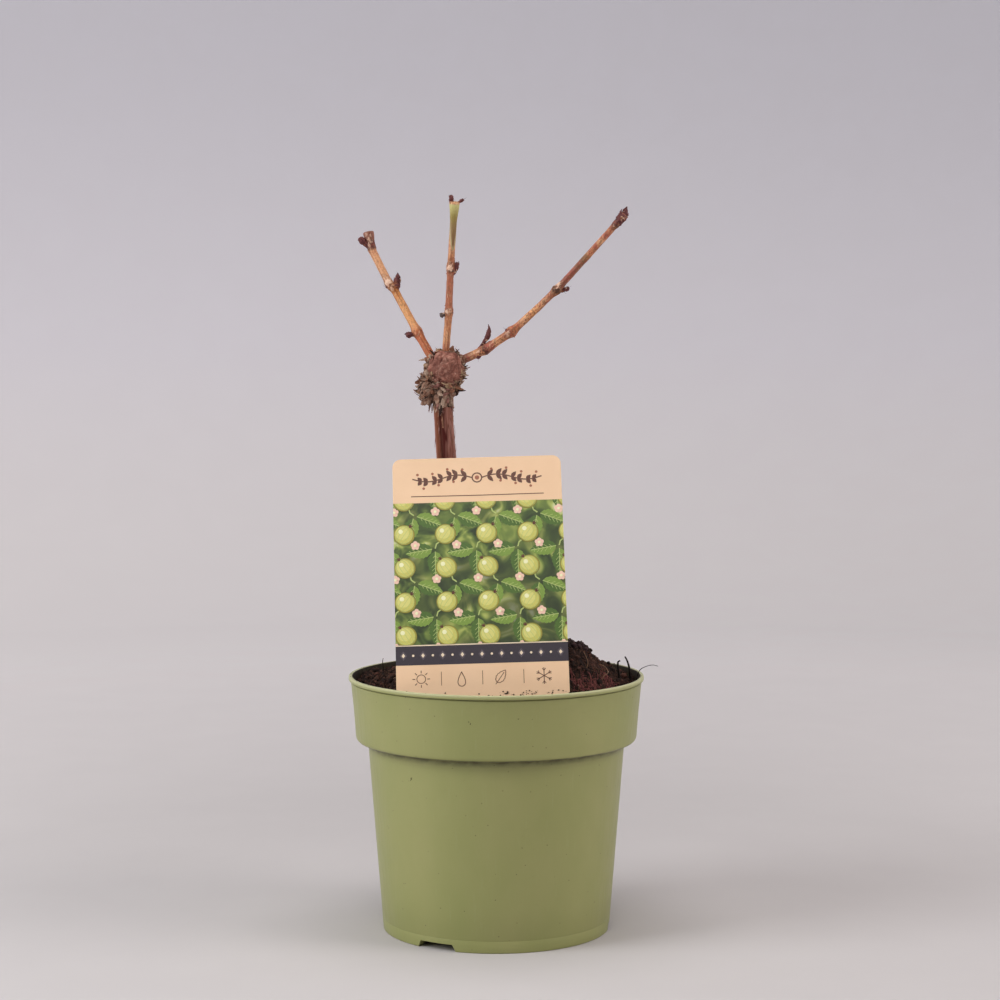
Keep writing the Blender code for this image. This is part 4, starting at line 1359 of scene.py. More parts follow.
canes = {
    "Left": {
        "node": "cane_left",
        "mottle": 0.55,
        "start": Vector((-0.0394, -0.001, 0.3649)),
        "startRadius": 0.0029,
        "internodes": (  # length, lean, heading, radius at the far end, swelling of the node there
            (0.0229, 32.2, 156, 0.00255, 0.42),
            (0.0351, 30.8, 157, 0.0024, 0.34),
            (0.0276, 29.9, 154, 0.00245, 0.1),
            (0.0109, 15.4, 136, 0.00245, 0.0),
        ),
        "tipFlare": 0.36,
        "shift": (0.0575, Vector((-0.001, 0.0, -0.0005))),  # a small step to the side, from this distance
        "buds": (  # distance, lean, heading, curl, length, radius, kind
            (0.0218, 99, 187, 0, 0.0079, 0.0019, "stub"),
            (0.0532, 14, -19, -12, 0.0112, 0.0023, "bud"),
            (0.0574, 97, 196, 0, 0.0038, 0.0012, "stub"),
            (0.0862, 62, 186, -22, 0.0102, 0.0022, "roundBud"),
        ),
        "tones": (  # distance and tone of the bark
            (0.0, "umber"), (0.008, "rust"), (0.022, "rust"), (0.029, "orange"),
            (0.046, "orange"), (0.053, "amber"), (0.0575, "clay"), (0.063, "tan"), (0.083, "tan"),
            (0.0858, "wine"), (0.0898, "wine"), (0.0925, "plum"), (0.0965, "plum"),
        ),
        "scars": (  # distance, heading, size, swelling, kind
            (0.0604, 268, 0.0022, 0.9, "pale"), (0.055, 252, 0.0012, 0.4, "pink"),
            (0.0222, 200, 0.0016, 0.5, "dark"), (0.06, 215, 0.0013, 0.4, "dark"),
            (0.0872, 250, 0.001, 0.3, "pink"), (0.0894, 285, 0.0008, 0.2, "pink"),
            (0.0916, 262, 0.0009, 0.2, "pink"), (0.0936, 292, 0.0008, 0.2, "pink"),
            (0.095, 245, 0.0008, 0.2, "pink"),
        ),
        "rings": (0.0205, 0.056, 0.0852),  # ridges round the nodes
        "green": None,  # where unripe wood begins and is full
    },
    "Middle": {
        "node": "cane_middle",
        "mottle": 0.75,
        "start": Vector((-0.0329, 0.0005, 0.3644)),
        "startRadius": 0.0023,
        "internodes": (
            (0.033, 6.5, -42, 0.00224, 0.28),
            (0.0277, 6.8, -66, 0.00215, 0.32),
            (0.0335, 6.4, -54, 0.00215, 0.04),
            (0.0085, 7.5, -65, 0.00215, 0.0),
        ),
        "tipFlare": 0.55,
        "shift": (0.035, Vector((-0.0002, 0.0, 0.0))),
        "buds": (
            (0.0321, 108, 190, 0, 0.006, 0.0014, "greyStub"),
            (0.0552, 52, -12, -56, 0.0106, 0.0016, "roundBud"),
            (0.0975, 26, 165, -30, 0.0098, 0.0016, "roundBud"),
            (0.1009, 63, -10, 0, 0.0067, 0.0009, "stub"),
        ),
        "tones": (
            (0.0, "umber"), (0.008, "rose"), (0.015, "tan"), (0.024, "clay"), (0.031, "clay"),
            (0.036, "rose"), (0.05, "rose"), (0.059, "rose"), (0.066, "clay"), (0.074, "tan"),
            (0.09, "straw"), (0.0995, "straw"), (0.1012, "cream"), (0.1027, "tan"),
        ),
        "scars": (
            (0.0612, 262, 0.0021, 1.0, "pale"), (0.0338, 285, 0.0013, 0.6, "pink"),
            (0.033, 245, 0.0011, 0.4, "pale"), (0.059, 300, 0.0009, 0.3, "dark"),
        ),
        "rings": (0.0322, 0.0347, 0.059),
        "green": (0.07, 0.096),
    },
    "Right": {
        "node": "cane_right",
        "mottle": 1.3,
        "start": Vector((-0.026, 0.0, 0.3643)),
        "startRadius": 0.0028,
        "internodes": (
            (0.0223, 66.3, -17, 0.00268, 0.26),
            (0.0202, 56.9, -14, 0.00244, 0.42),
            (0.0397, 48.6, -16, 0.00206, 0.46),
            (0.0559, 43.5, -18, 0.00198, 0.08),
            (0.008, 42.1, -11, 0.00198, 0.0),
        ),
        "tipFlare": 0.35,
        "shift": (0.07, Vector((-0.0002, 0.0, 0.0002))),
        "buds": (
            (0.0156, 150, -34, 0, 0.0036, 0.0016, "stub"),
            (0.014, 40, -8, -60, 0.0222, 0.0015, "spur"),
            (0.0403, 37, 202, 0, 0.0036, 0.001, "stub"),
            (0.081, 96, -7, -40, 0.009, 0.0015, "roundBud"),
            (0.1372, 46, -14, -18, 0.0126, 0.0031, "knob"),
        ),
        "tones": (
            (0.0, "umber"), (0.009, "plum"), (0.015, "tan"), (0.0196, "clay"), (0.0212, "wine"),
            (0.0232, "wine"), (0.0244, "berry"), (0.0272, "berry"), (0.0305, "tan"), (0.036, "clay"),
            (0.0405, "rose"), (0.0455, "rust"), (0.053, "tan"), (0.06, "orange"), (0.069, "tan"),
            (0.076, "rose"), (0.082, "olive"),
            (0.087, "plum"), (0.095, "berry"), (0.101, "plum"), (0.1075, "olive"), (0.113, "clay"),
            (0.119, "rose"), (0.124, "tan"), (0.129, "berry"), (0.132, "clay"),
            (0.1368, "wine"), (0.1461, "plum"),
        ),
        "scars": (
            (0.0214, 270, 0.0008, 0.4, "dark"), (0.018, 240, 0.001, 0.3, "pink"),
            (0.0405, 240, 0.0016, 0.5, "pink"), (0.0395, 285, 0.0011, 0.4, "pink"),
            (0.0824, 288, 0.0017, 0.5, "dark"), (0.0808, 235, 0.001, 0.4, "dark"),
            (0.0838, 250, 0.0009, 0.4, "pale"), (0.0856, 200, 0.0016, 0.4, "pale"),
        ),
        "rings": (0.0215, 0.0425, 0.082, 0.1375),
        "green": None,
    },
}


def nodePlaces(spec):
    places = [0.0]
    for internode in spec["internodes"]:
        places.append(places[-1] + internode[0])
    return places


def straightAlong(spec, distance):
    # point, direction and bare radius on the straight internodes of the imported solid
    places = nodePlaces(spec)
    point, thick = spec["start"].copy(), spec["startRadius"]
    for index, (length, lean, heading, radius, _) in enumerate(spec["internodes"]):
        along = direction(lean, heading)
        if distance <= places[index + 1] or index == len(spec["internodes"]) - 1:
            break
        point += along * length
        thick = radius
    share = (distance - places[index]) / length
    return point + along * length * share, along, thick + (radius - thick) * share


def caneAlong(spec, distance):
    # the same line with its bends eased, and its radius with the nodes' swelling
    places = nodePlaces(spec)
    ease = caneShape["ease"]
    spread = [straightAlong(spec, distance + ease * k / 2) for k in (-2, -1, 0, 1, 2)]
    point = sum((part[0] for part in spread), Vector()) / len(spread)
    along = sum((part[1] for part in spread), Vector()).normalized()
    swell = 0.0
    for place, internode in zip(places[1:], spec["internodes"]):
        swell += internode[4] * bellCurve(distance - place, caneShape["nodeReach"])
    swell += spec["tipFlare"] * bellCurve(places[-1] - distance, caneShape["tipReach"])
    zig, sideways = spec["shift"]
    point += sideways * smoothStep(0.5 + (distance - zig) / (2 * ease))
    return point, along, spread[2][2] * (1 + swell)


def surfaceTurn(along, heading):
    # angle on a cane's ring of the side that faces a heading in plan
    across, other = crossAxes(along)
    way = direction(90, heading)
    return math.atan2(way.dot(other), way.dot(across))


def caneFinish(name, spec):
    finish, tree, shader = newFinish(f"caneBark{name}", 0.55, 0.32)
    length = nodePlaces(spec)[-1]
    wander = between(tree, cloudy(tree, 1.4, detail=3), 0.2, 0.8, -0.012, 0.012)
    place = arithmetic(tree, "ADD", mask(tree, "along"), wander)
    base = stops(tree, place, *[(distance / length, barkTones[tone]) for distance, tone in spec["tones"]])
    stripes = between(tree, mask(tree, "stripe"), 0.45, 0.95, 0, 0.6)
    base = mixed(tree, stripes, base, (150, 92, 66), "MULTIPLY")
    patches = cloudy(tree, 2.4, detail=3, rough=0.6, warp=0.5)
    base = laidOver(tree, base, (160, 80, 62), patches, 0.54, 0.63, 0, 0.65 * spec["mottle"])
    base = laidOver(tree, base, (138, 98, 66), patches, 0.38, 0.47, 0.7 * spec["mottle"], 0)
    blotches = between(tree, cloudy(tree, 1.3, (1, 1, 2), 6, 0.65), 0.5, 0.66, 0, 0.75 * spec["mottle"])
    base = mixed(tree, blotches, base, (128, 78, 58))
    bleached = between(tree, cloudy(tree, 1.1, (1, 1, 3), 5, 0.6, 0.4), 0.56, 0.7, 0, 0.55)
    base = mixed(tree, bleached, base, (232, 188, 152))
    dots = between(tree, cells(tree, 0.85, (1, 1, 1.6)), 0.12, 0.25, 0.7, 0)
    base = mixed(tree, dots, base, (92, 52, 38))
    if spec["green"]:
        green = mask(tree, "green")
        shades = [(distance / length, tone) for distance, tone in caneShape["greenTones"]]
        unripe = stops(tree, place, *shades)
        paler = between(tree, green, 0.35, 0.95, 0.55, 0)
        unripe = mixed(tree, paler, unripe, (204, 188, 140))
        base = laidOver(tree, base, unripe, green, 0.05, 0.25)
    waxy = laidOver(tree, (232, 196, 170), (206, 158, 134), cloudy(tree, 0.7, detail=4), 0.4, 0.65)
    base = mixed(tree, mask(tree, "scar"), base, waxy)
    base = mixed(tree, mask(tree, "dark"), base, (74, 46, 34))
    relief = bumped(tree, cloudy(tree, 0.25, (1, 1, 4), 3), 0.05, 0.8)
    relief = bumped(tree, cloudy(tree, 0.9, detail=3), 0.12, 0.5, relief)
    gloss = between(tree, blotches, 0, 0.5, 0.46, 0.66)
    wire(tree, shader, Base_Color=base, Roughness=gloss, Normal=relief)
    return finish


def caneRow(spec, distance, seed):
    # one ring of a cane with its ribs, scars and node ridges, and the masks of its points
    length = nodePlaces(spec)[-1]
    point, along, radius = caneAlong(spec, distance)
    radii, rows = [], {"along": [], "stripe": [], "green": [], "scar": [], "dark": []}
    knobbly = 0.055 + 0.1 * max(bellCurve(distance - place, 0.0035) for place in spec["rings"])
    for turn in turnsRound(caneShape["sides"]):
        x, y = onCircle(1, turn)
        ribs = ripple(x * 3.2 + seed, y * 3.2, distance * 38)
        fine = ripple(x * 7.5, y * 7.5 + seed, distance * 90)
        lumps = ripple(x * 1.2, y * 1.2, distance * 260 + seed)
        bulge, scar, sunken = 0.0, 0.0, 0.0
        frayed = 1 + 0.9 * ripple(x * 3 + seed, y * 3, distance * 700)
        frayed += 0.35 * ripple(x * 9, y * 9, distance * 2400 + seed)
        for place, heading, size, raised, kind in spec["scars"]:
            around = turnBetween(turn, math.degrees(surfaceTurn(along, heading))) * radius
            share = bellCurve(math.hypot(around, (distance - place) * 0.8) * frayed, size)
            if kind == "dark":
                sunken = max(sunken, 0.9 * smoothStep((share - 0.3) / 0.3))
            else:
                scar = max(scar, smoothStep((share - 0.36) / 0.25) * (1.0 if kind == "pale" else 0.58))
                sunken = max(sunken, 0.7 * bellCurve(share - 0.26, 0.1))
            bulge += raised * 0.00035 * share
        ridge = sum(bellCurve(distance - place + 0.0004 * fine, 0.0005) for place in spec["rings"])
        radii.append(radius * (1 + 0.045 * ribs + 0.03 * fine + knobbly * lumps) + bulge + 0.00012 * ridge)
        green = 0.0
        if spec["green"]:
            low, high = spec["green"]
            share = (distance - low) / (high - low)
            lit = math.degrees(surfaceTurn(along, caneShape["greenHeading"]))
            faced = abs(turnBetween(turn, lit)) + 0.3 * fine
            green = min(1.0, max(0.0, (0.35 + 2.2 * share - faced) / 0.9))
            green *= smoothStep((distance - low) / 0.006)
            green *= 1 - smoothStep((distance - caneShape["greenEnd"]) / 0.0014)
        rows["along"].append(distance / length)
        rows["stripe"].append(0.5 + 0.9 * ribs + 0.5 * fine)
        rows["green"].append(green)
        rows["scar"].append(scar)
        rows["dark"].append(max(sunken, min(1.0, 0.6 * ridge * (0.6 + lumps))) * (1 - scar))
    return ringRound(point, along, radii), rows


def woodFinish(name, pale, dark):
    finish, tree, shader = newFinish(name, 0.78, 0.3)
    rays = cloudy(tree, 0.35, detail=4)
    wire(tree, shader, Base_Color=stops(tree, rays, (0.3, dark), (0.7, pale)),
         Normal=bumped(tree, rays, 0.08, 0.8))
    return finish


def makeCane(name, spec, cutWood, pith):
    seed = 3.7 * len(name)
    length = nodePlaces(spec)[-1]
    count = int(length / caneShape["step"])
    rings, masks = [], {}
    for k in range(count + 1):
        ring, rows = caneRow(spec, length * k / count, seed)
        rings.append(ring)
        for key, values in rows.items():
            masks.setdefault(key, []).extend(values)
    point, along, radius = caneAlong(spec, length)
    sides = caneShape["sides"]
    for width, lift in caneShape["tip"]:
        rings.append(ringRound(point + along * lift, along, [radius * width] * sides))
        for key in masks:
            masks[key].extend([1.0 if key == "along" else 0.0] * sides)
    points, faces = tube(rings)
    bark, wood, core = [0] * sides, [1] * sides, [2] * sides
    finishIndex = bark * (count + 1) + wood * 2 + core + bark + core
    for key in masks:
        masks[key].extend([0.0, 0.0])
    addPiece(f"cane{name}Bark", points, faces, [caneFinish(name, spec), cutWood, pith],
             60, (spec["node"],), finishIndex, masks)


budShapes = {  # share of the length and of the radius
    "bud": ((0.0, 0.6), (0.15, 0.85), (0.35, 1.0), (0.6, 0.92), (0.82, 0.6), (1.0, 0.16)),
    "roundBud": ((0.0, 0.8), (0.25, 0.72), (0.5, 0.8), (0.72, 1.0), (0.9, 0.86), (1.0, 0.4)),
    "knob": ((0.0, 0.55), (0.2, 0.8), (0.4, 1.0), (0.6, 0.97), (0.76, 0.62), (0.9, 0.36), (1.0, 0.08)),
    "stub": ((0.0, 1.25), (0.3, 0.9), (0.55, 0.85), (0.8, 1.12), (1.0, 0.66)),
    "spur": ((0.0, 0.9), (0.2, 0.74), (0.45, 0.66), (0.66, 1.15), (0.78, 0.98), (0.91, 0.42), (1.0, 0.08)),
}
budShapes["greyStub"] = budShapes["stub"]

budTones = {  # finishes of the foot, the middle and the tip
    "bud": (0, 1, 1),
    "roundBud": (1, 1, 1),
    "knob": (1, 1, 1),
    "stub": (0, 1, 1),
    "greyStub": (0, 3, 3),
    "spur": (0, 1, 1),
}


def budWidth(kind, share):
    profile = budShapes[kind]
    for (low, first), (high, last) in zip(profile, profile[1:]):
        if share <= high:
            return first + (last - first) * smoothStep((share - low) / (high - low))
    return profile[-1][1]


def addBud(heap, spec, bud):
    # a bud, stub or spur that grows out of its cane, stepped by the edges of its scales
    distance, lean, heading, curl, length, radius, kind = bud
    tones = budTones[kind]
    point = caneAlong(spec, distance)[0]
    steps, seed = caneShape["budSteps"], draw.uniform(0, 40)
    scaled = 0.2 if kind in ("bud", "roundBud") else 0.1
    rings, places, before = [], [], 0.0
    for step in range(steps + 1):
        share = step / steps
        turned = share ** 3 if kind == "spur" else (share + before) / 2
        along = direction(lean + curl * turned, heading)
        point = point + along * length * (share - before)
        before = share
        wide = radius * budWidth(kind, share)
        knobs = []
        for turn in turnsRound(caneShape["budSides"]):
            x, y = onCircle(1, turn)
            lumps = ripple(x * 1.6, y * 1.6 + seed, share * length * 600)
            pits = ripple(x * 3.6 + seed, y * 3.6, share * length * 1500)
            edge = (share * 3.2 + 0.35 * math.sin(turn + seed) + 0.12 * lumps) % 1.0
            knobs.append(wide * (1 + scaled * (0.5 - edge) + 0.26 * lumps + 0.14 * pits))
        rings.append(ringRound(point, along, knobs))
        places.append((point.copy(), along.copy()))
    third = steps // 3
    heap.add(*tube(rings[:third + 1], endCap=False), tones[0])
    heap.add(*tube(rings[third:2 * third + 1], False, False), tones[1])
    heap.add(*tube(rings[2 * third:], startCap=False), tones[2])
    for k in range(6 if kind == "spur" else 8):  # scales, each with a wart beside it
        share = 0.12 + 0.1 * k
        middle, along = places[int(share * steps)]
        axes = crossAxes(along)
        turn = 2.4 * k + seed
        wide = budWidth(kind, share)
        outwards = outOf(axes, turn)
        root = middle + outwards * radius * wide * 0.98
        way = (along + 0.08 * outwards).normalized()
        lift = (outwards - way * outwards.dot(way)).normalized()
        long, broad = length * draw.uniform(0.16, 0.3), radius * draw.uniform(0.7, 1.3)
        heap.add(*scrap(root, way, lift, long, broad, draw.uniform(-0.5, 0.35), 0.00012, 0.2, tip=0.2),
                 (*tones, 0, 4)[k % 5])
        place = middle + outOf(axes, turn + 1.9) * radius * wide * 0.9
        heap.add(*crumb(place, draw.uniform(0.00025, 0.00055), smallLump), (1, 3, 0, 4)[k % 4])
    if kind == "knob":
        addScar(heap, *places[steps // 2], radius)
    if kind != "spur":
        for _ in range(4 if kind == "bud" else 2):  # hairs
            middle, along = places[draw.randrange(steps // 2, steps)]
            way = along + 0.7 * anyWay(0.6)
            heap.add(*fibre(middle, way, draw.uniform(0.0018, 0.0034), 0.00009, 0.12, 0, 4, 4), 3)


def addScar(heap, middle, along, radius):
    # the pale scar on a swollen tip: small lumps that fill a round spot
    side = along.cross(direction(80, 295)).normalized()
    lift = side.cross(along)
    lumps, size = caneShape["scarLumps"], caneShape["scarRadius"]
    for k in range(lumps):
        turn, spread = 2.4 * k, size * math.sqrt((k + 0.5) / lumps)
        out = (lift * radius + side * spread * math.cos(turn)).normalized()
        place = middle + out * radius * 0.93 + along * spread * 1.1 * math.sin(turn)
        heap.add(*crumb(place, draw.uniform(0.0003, 0.0006), smallLump), (4, 2, 5)[k % 3])


def caneSurface(spec, distance, turn, depth):
    # a place on a cane, the way along it and the way out of it
    point, along, radius = caneAlong(spec, distance)
    outwards = outOf(crossAxes(along), turn)
    return point + outwards * (radius - depth), along, outwards


def addWart(heap, spec, distance):
    place = caneSurface(spec, distance, anyTurn(), 0.0001)[0]
    size = draw.uniform(*caneShape["wartSizes"])
    heap.add(*crumb(place, size, smallLump), oneOf(caneShape["wartWeights"]))


def addCaneStrip(heap, spec, distance):
    # a sliver of bark that has split away along the cane
    root, along, outwards = caneSurface(spec, distance, anyTurn(), 0.00005)
    length, width = draw.uniform(*caneShape["stripLengths"]), draw.uniform(*caneShape["stripWidths"])
    heap.add(*scrap(root, along, outwards, length, width, draw.uniform(-0.02, 0.12), 0.0001, 0.2, tip=0.2),
             oneOf(caneShape["stripWeights"]))


def makeBuds(name, spec, finishes):
    heap = Heap()
    for bud in spec["buds"]:
        addBud(heap, spec, bud)
    for place in spec["rings"]:
        for _ in range(caneShape["warts"]):
            addWart(heap, spec, place + draw.gauss(0, 0.0013))
    length = nodePlaces(spec)[-1]
    for _ in range(caneShape["strips"]):
        addCaneStrip(heap, spec, draw.uniform(0.004, length - 0.008))
    addHeap(f"cane{name}Buds", heap, finishes, 50)


budFinishes = (  # name, dark and light tone, size of the mottling, roughness, relief
    ("budBrown", (92, 48, 36), (164, 100, 72), 0.8, 0.7, 0.08),
    ("budPurple", (58, 26, 28), (126, 72, 70), 0.8, 0.7, 0.08),
    ("budTan", (136, 98, 74), (196, 156, 126), 0.6, 0.8, 0.08),
    ("budGrey", (52, 40, 40), (128, 112, 106), 0.7, 0.85, 0.08),
    ("budCream", (196, 152, 126), (232, 200, 172), 0.6, 0.8, 0.06),
    ("budPink", (160, 104, 100), (206, 152, 142), 0.6, 0.8, 0.06),
)
cutWood = woodFinish("cutWood", (214, 178, 138), (176, 128, 96))
pith = woodFinish("pith", (140, 92, 68), (84, 50, 38))
sharedBuds = [looseFinish(*settings) for settings in budFinishes]
for caneName, caneSpec in canes.items():
    makeCane(caneName, caneSpec, cutWood, pith)
    makeBuds(caneName, caneSpec, sharedBuds)

# Label: a printed plastic card that leans back, with a plain leaf and berry pattern

label = {
    "origin": Vector((-0.008, -0.0655, 0.1622)),
    "height": 0.1525,
    "thickness": 0.0007,
    "corner": 0.0055,
    "cornerSteps": 12,
    "lean": 21.0,
    "roll": 1.75,
    "halfWidth": 53.5,  # in millimetres from here on
    "bevel": 0.12,
    "layer": 0.05,
    "sunk": -0.03,
    "spikeTip": -38,
    "spike": ((12, -31), (12, -20), (40, -12), (53.5, -1.5)),  # from the tip up the right side
    "panel": (-53.5, 30.9, 53.5, 123.0),  # left, bottom, right and top
    "band": (-53.5, 18.1, 53.5, 30.2),
    "signHeight": 9.2,
    "ringSides": 40,
}

sprig = {
    "pitch": (26.0, 22.0),
    "turns": (2.15, 0.95),  # in even and odd rows
    "leafTurns": (2.35, 3.75),
    "leafRoot": 2.0,
    "leafLength": 17.0,
    "leafWidth": 9.5,
    "veins": 5,
    "veinLength": 3.4,
    "veinLean": 0.75,
    "stalk": 5.0,
    "berryRadius": 6.4,
    "ribs": (-0.78, -0.42, 0.0, 0.42, 0.78),
    "calyx": (-0.5, 0.0, 0.5),
    "calyxLength": 2.2,
    "blossomRadius": 2.6,
}

inks = {
    "leafDeep": ((70, 98, 42), (86, 114, 50)),
    "leafLight": ((116, 144, 62), (134, 160, 72)),
    "vein": ((176, 190, 112), (188, 200, 126)),
    "berry": ((198, 192, 96), (212, 205, 112)),
    "berryShade": ((158, 148, 62), (170, 160, 72)),
    "berryEdge": ((120, 116, 48), (130, 126, 54)),
    "highlight": ((238, 236, 186), (244, 242, 200)),
    "blossom": ((240, 196, 172), (244, 206, 184)),
    "band": ((52, 46, 53), (62, 54, 61)),
    "cream": ((236, 214, 184), (242, 222, 194)),
    "bandPattern": ((88, 78, 86), (96, 86, 92)),
    "brown": ((96, 58, 46), (108, 68, 54)),
    "rust": ((160, 96, 72), (172, 108, 82)),
    "berryLight": ((214, 208, 120), (222, 216, 132)),
}


def labelPoint(across, upwards, lift):
    # a place on the card in millimetres, with its height above the front face
    local = Vector((across * mm, -label["thickness"] / 2 - lift * mm, upwards * mm))
    lean = Matrix.Rotation(math.radians(-label["lean"]), 3, "X")
    roll = Matrix.Rotation(math.radians(-label["roll"]), 3, "Y")
    return label["origin"] + lean @ roll @ local


def offset(start, turn, ahead, across=0.0):
    # the place on the card ahead of another along a turn, and across from there
    x, y = start
    cosine, sine = onCircle(1, turn)
    return x + ahead * cosine - across * sine, y + ahead * sine + across * cosine


def rectangle(left, bottom, right, top):
    return [(left, bottom), (right, bottom), (right, top), (left, top)]


def cardOutline(inset):
    # the card's edge, drawn in by a little, from the spike's tip and round
    corner, spikeSide = label["corner"] / mm, label["spike"][0][0]
    middle = (label["halfWidth"] - corner, label["height"] / mm - corner)
    right = [(0.0, label["spikeTip"] + inset)]
    for across, height in label["spike"]:
        right.append((across - inset, height + (inset if across > spikeSide else 0)))
    for step in range(label["cornerSteps"] + 1):
        right.append(offset(middle, math.pi / 2 * step / label["cornerSteps"], corner - inset))
    return right + [(-across, height) for across, height in reversed(right[1:])]


def plasticCard():
    finish, tree, shader = newFinish("cardPlastic", 0.34, 0.45)
    tint = stops(tree, cloudy(tree, 30.0, detail=3), (0.3, (238, 199, 161)), (0.7, (244, 206, 169)))
    fibresSeen = between(tree, cloudy(tree, 0.5, (5, 1, 1), 4), 0.55, 0.75, 0, 0.16)
    base = mixed(tree, fibresSeen, tint, (220, 174, 138))
    wire(tree, shader, Base_Color=base, Normal=bumped(tree, cloudy(tree, 9.0), 0.05, 0.5))
    return finish


def foliageInk():
    # soft, out-of-focus greens behind the pattern
    finish, tree, shader = newFinish("foliageInk", 0.36, 0.45)
    blur = cloudy(tree, 15.0, detail=2.0, rough=0.5, warp=1.2)
    base = stops(tree, blur, (0.3, (44, 56, 32)), (0.43, (74, 92, 46)),
                 (0.54, (118, 136, 64)), (0.64, (176, 184, 98)), (0.76, (226, 228, 190)))
    shade = between(tree, cloudy(tree, 30.0, detail=1), 0.4, 0.6, 0.0, 0.75)
    base = mixed(tree, shade, base, (52, 62, 38))
    wire(tree, shader, Base_Color=base, Normal=bumped(tree, cloudy(tree, 0.25), 0.008, 0.5))
    return finish


def printInk(name, first, second):
    finish, tree, shader = newFinish(name, 0.36, 0.45)
    grain = cloudy(tree, 0.8, detail=5, rough=0.65)
    wire(tree, shader, Base_Color=stops(tree, grain, (0.3, first), (0.7, second)),
         Normal=bumped(tree, cloudy(tree, 0.25), 0.008, 0.5))
    return finish


def prism(outline, low, high):
    # a flat printed shape as a thin closed plate on the card
    count = len(outline)
    points = [labelPoint(a, b, lift) for lift in (low, high) for a, b in outline]
    faces = [tuple(range(count, 2 * count)), tuple(reversed(range(count)))]
    faces += [(i, (i + 1) % count, count + (i + 1) % count, count + i) for i in range(count)]
    return points, faces


def clipped(outline, box):
    # the part of an outline inside a rectangle
    left, bottom, right, top = box
    for axis, limit, keepAbove in ((0, left, True), (0, right, False), (1, bottom, True), (1, top, False)):
        kept = []
        for here, following in zip(outline, outline[1:] + outline[:1]):
            insideHere = (here[axis] >= limit) == keepAbove
            insideNext = (following[axis] >= limit) == keepAbove
            if insideHere:
                kept.append(here)
            if insideHere != insideNext:
                share = (limit - here[axis]) / (following[axis] - here[axis])
                kept.append(tuple(a + (b - a) * share for a, b in zip(here, following)))
        outline = kept
        if len(outline) < 3:
            return []
    return outline


def leafShape(root, length, width, turn, teeth=7, halves=(1, -1)):
    # a pointed leaf with soft teeth, or only its left half
    outline, last = [], teeth * 3
    for side in halves:
        for step in range(last + 1)[::side]:
            share = step / last
            swell = math.sin(math.pi * share ** 0.75) ** 0.85 * (1 + 0.07 * (step % 3 - 1))
            outline.append(offset(root, turn, share * length, side * width / 2 * swell))
    return outline


def strokeShape(points, width):
    # a line of constant width through points, as one outline
    left, right = [], []
    for k, (x, y) in enumerate(points):
        ahead, behind = points[min(k + 1, len(points) - 1)], points[max(k - 1, 0)]
        dx, dy = ahead[0] - behind[0], ahead[1] - behind[1]
        size = math.hypot(dx, dy) or 1.0
        left.append((x - dy / size * width / 2, y + dx / size * width / 2))
        right.append((x + dy / size * width / 2, y - dx / size * width / 2))
    return right + left[::-1]


def printShape(heap, outline, layer, ink, box=None):
    shape = clipped(outline, box) if box else outline
    if len(shape) >= 3:
        heap.add(*prism(shape, label["sunk"], layer * label["layer"]), list(inks).index(ink))


def printLine(heap, points, width, layer, ink, box=None):
    printShape(heap, strokeShape(points, width), layer, ink, box)


def printDisc(heap, centre, radius, layer, ink, box=None, sides=30):
    printShape(heap, [offset(centre, turn, radius) for turn in turnsRound(sides)], layer, ink, box)


def printCurve(heap, points, width, layer, ink):
    # a closed curve, printed as four strokes
    each = (len(points) - 1) // 4
    for k in range(0, len(points) - 1, each):
        printLine(heap, points[k:k + each + 1], width, layer, ink)


def printRing(heap, centre, radius, width, layer, ink):
    arc = [offset(centre, turn, radius) for turn in (*turnsRound(label["ringSides"]), fullTurn)]
    printCurve(heap, arc, width, layer, ink)


def printLeaf(heap, root, way, box):
    # a leaf of two tones with a midrib and veins
    length, width = sprig["leafLength"], sprig["leafWidth"]
    printShape(heap, leafShape(root, length, width, way), 2, "leafDeep", box)
    printShape(heap, leafShape(root, length, width, way, halves=(1,)), 3, "leafLight", box)
    printLine(heap, [root, offset(root, way, length * 0.95)], 0.45, 4, "vein", box)
    for k in range(1, sprig["veins"] + 1):
        share = k / (sprig["veins"] + 1.5)
        middle = offset(root, way, length * share)
        reach = sprig["veinLength"] * math.sin(math.pi * share ** 0.8)
        for lean in (sprig["veinLean"], -sprig["veinLean"]):
            printLine(heap, [middle, offset(middle, way + lean, reach)], 0.25, 4, "vein", box)


def printBerry(heap, centre, turn, box):
    # a round berry, shaded towards one side, with ribs, a highlight and the rest of its flower
    x, y = centre
    radius = sprig["berryRadius"]
    printDisc(heap, centre, radius + 0.35, 5, "berryEdge", box)
    printDisc(heap, centre, radius, 6, "berryShade", box)
    for k, (size, ink) in enumerate(((0.9, "berry"), (0.66, "berryLight"))):
        shift = radius * (0.96 - size)
        printDisc(heap, (x - 0.6 * shift, y + 0.6 * shift), radius * size, 6.6 + 0.6 * k, ink, box)
    for bulge in sprig["ribs"]:
        rib = []
        for k in range(9):
            swing = math.radians(18 * k - 72)
            ahead, across = 0.97 * radius * math.sin(swing), bulge * radius * math.cos(swing)
            rib.append(offset(centre, turn, ahead, across))
        printLine(heap, rib, 0.26, 8.4, "vein", box)
    printDisc(heap, (x - radius * 0.34, y + radius * 0.36), radius * 0.22, 8.8, "highlight", box, 18)
    root = offset(centre, turn, radius * 0.92)
    for lean in sprig["calyx"]:
        printLine(heap, [root, offset(root, turn + lean, sprig["calyxLength"])], 0.6, 8.8, "brown", box)


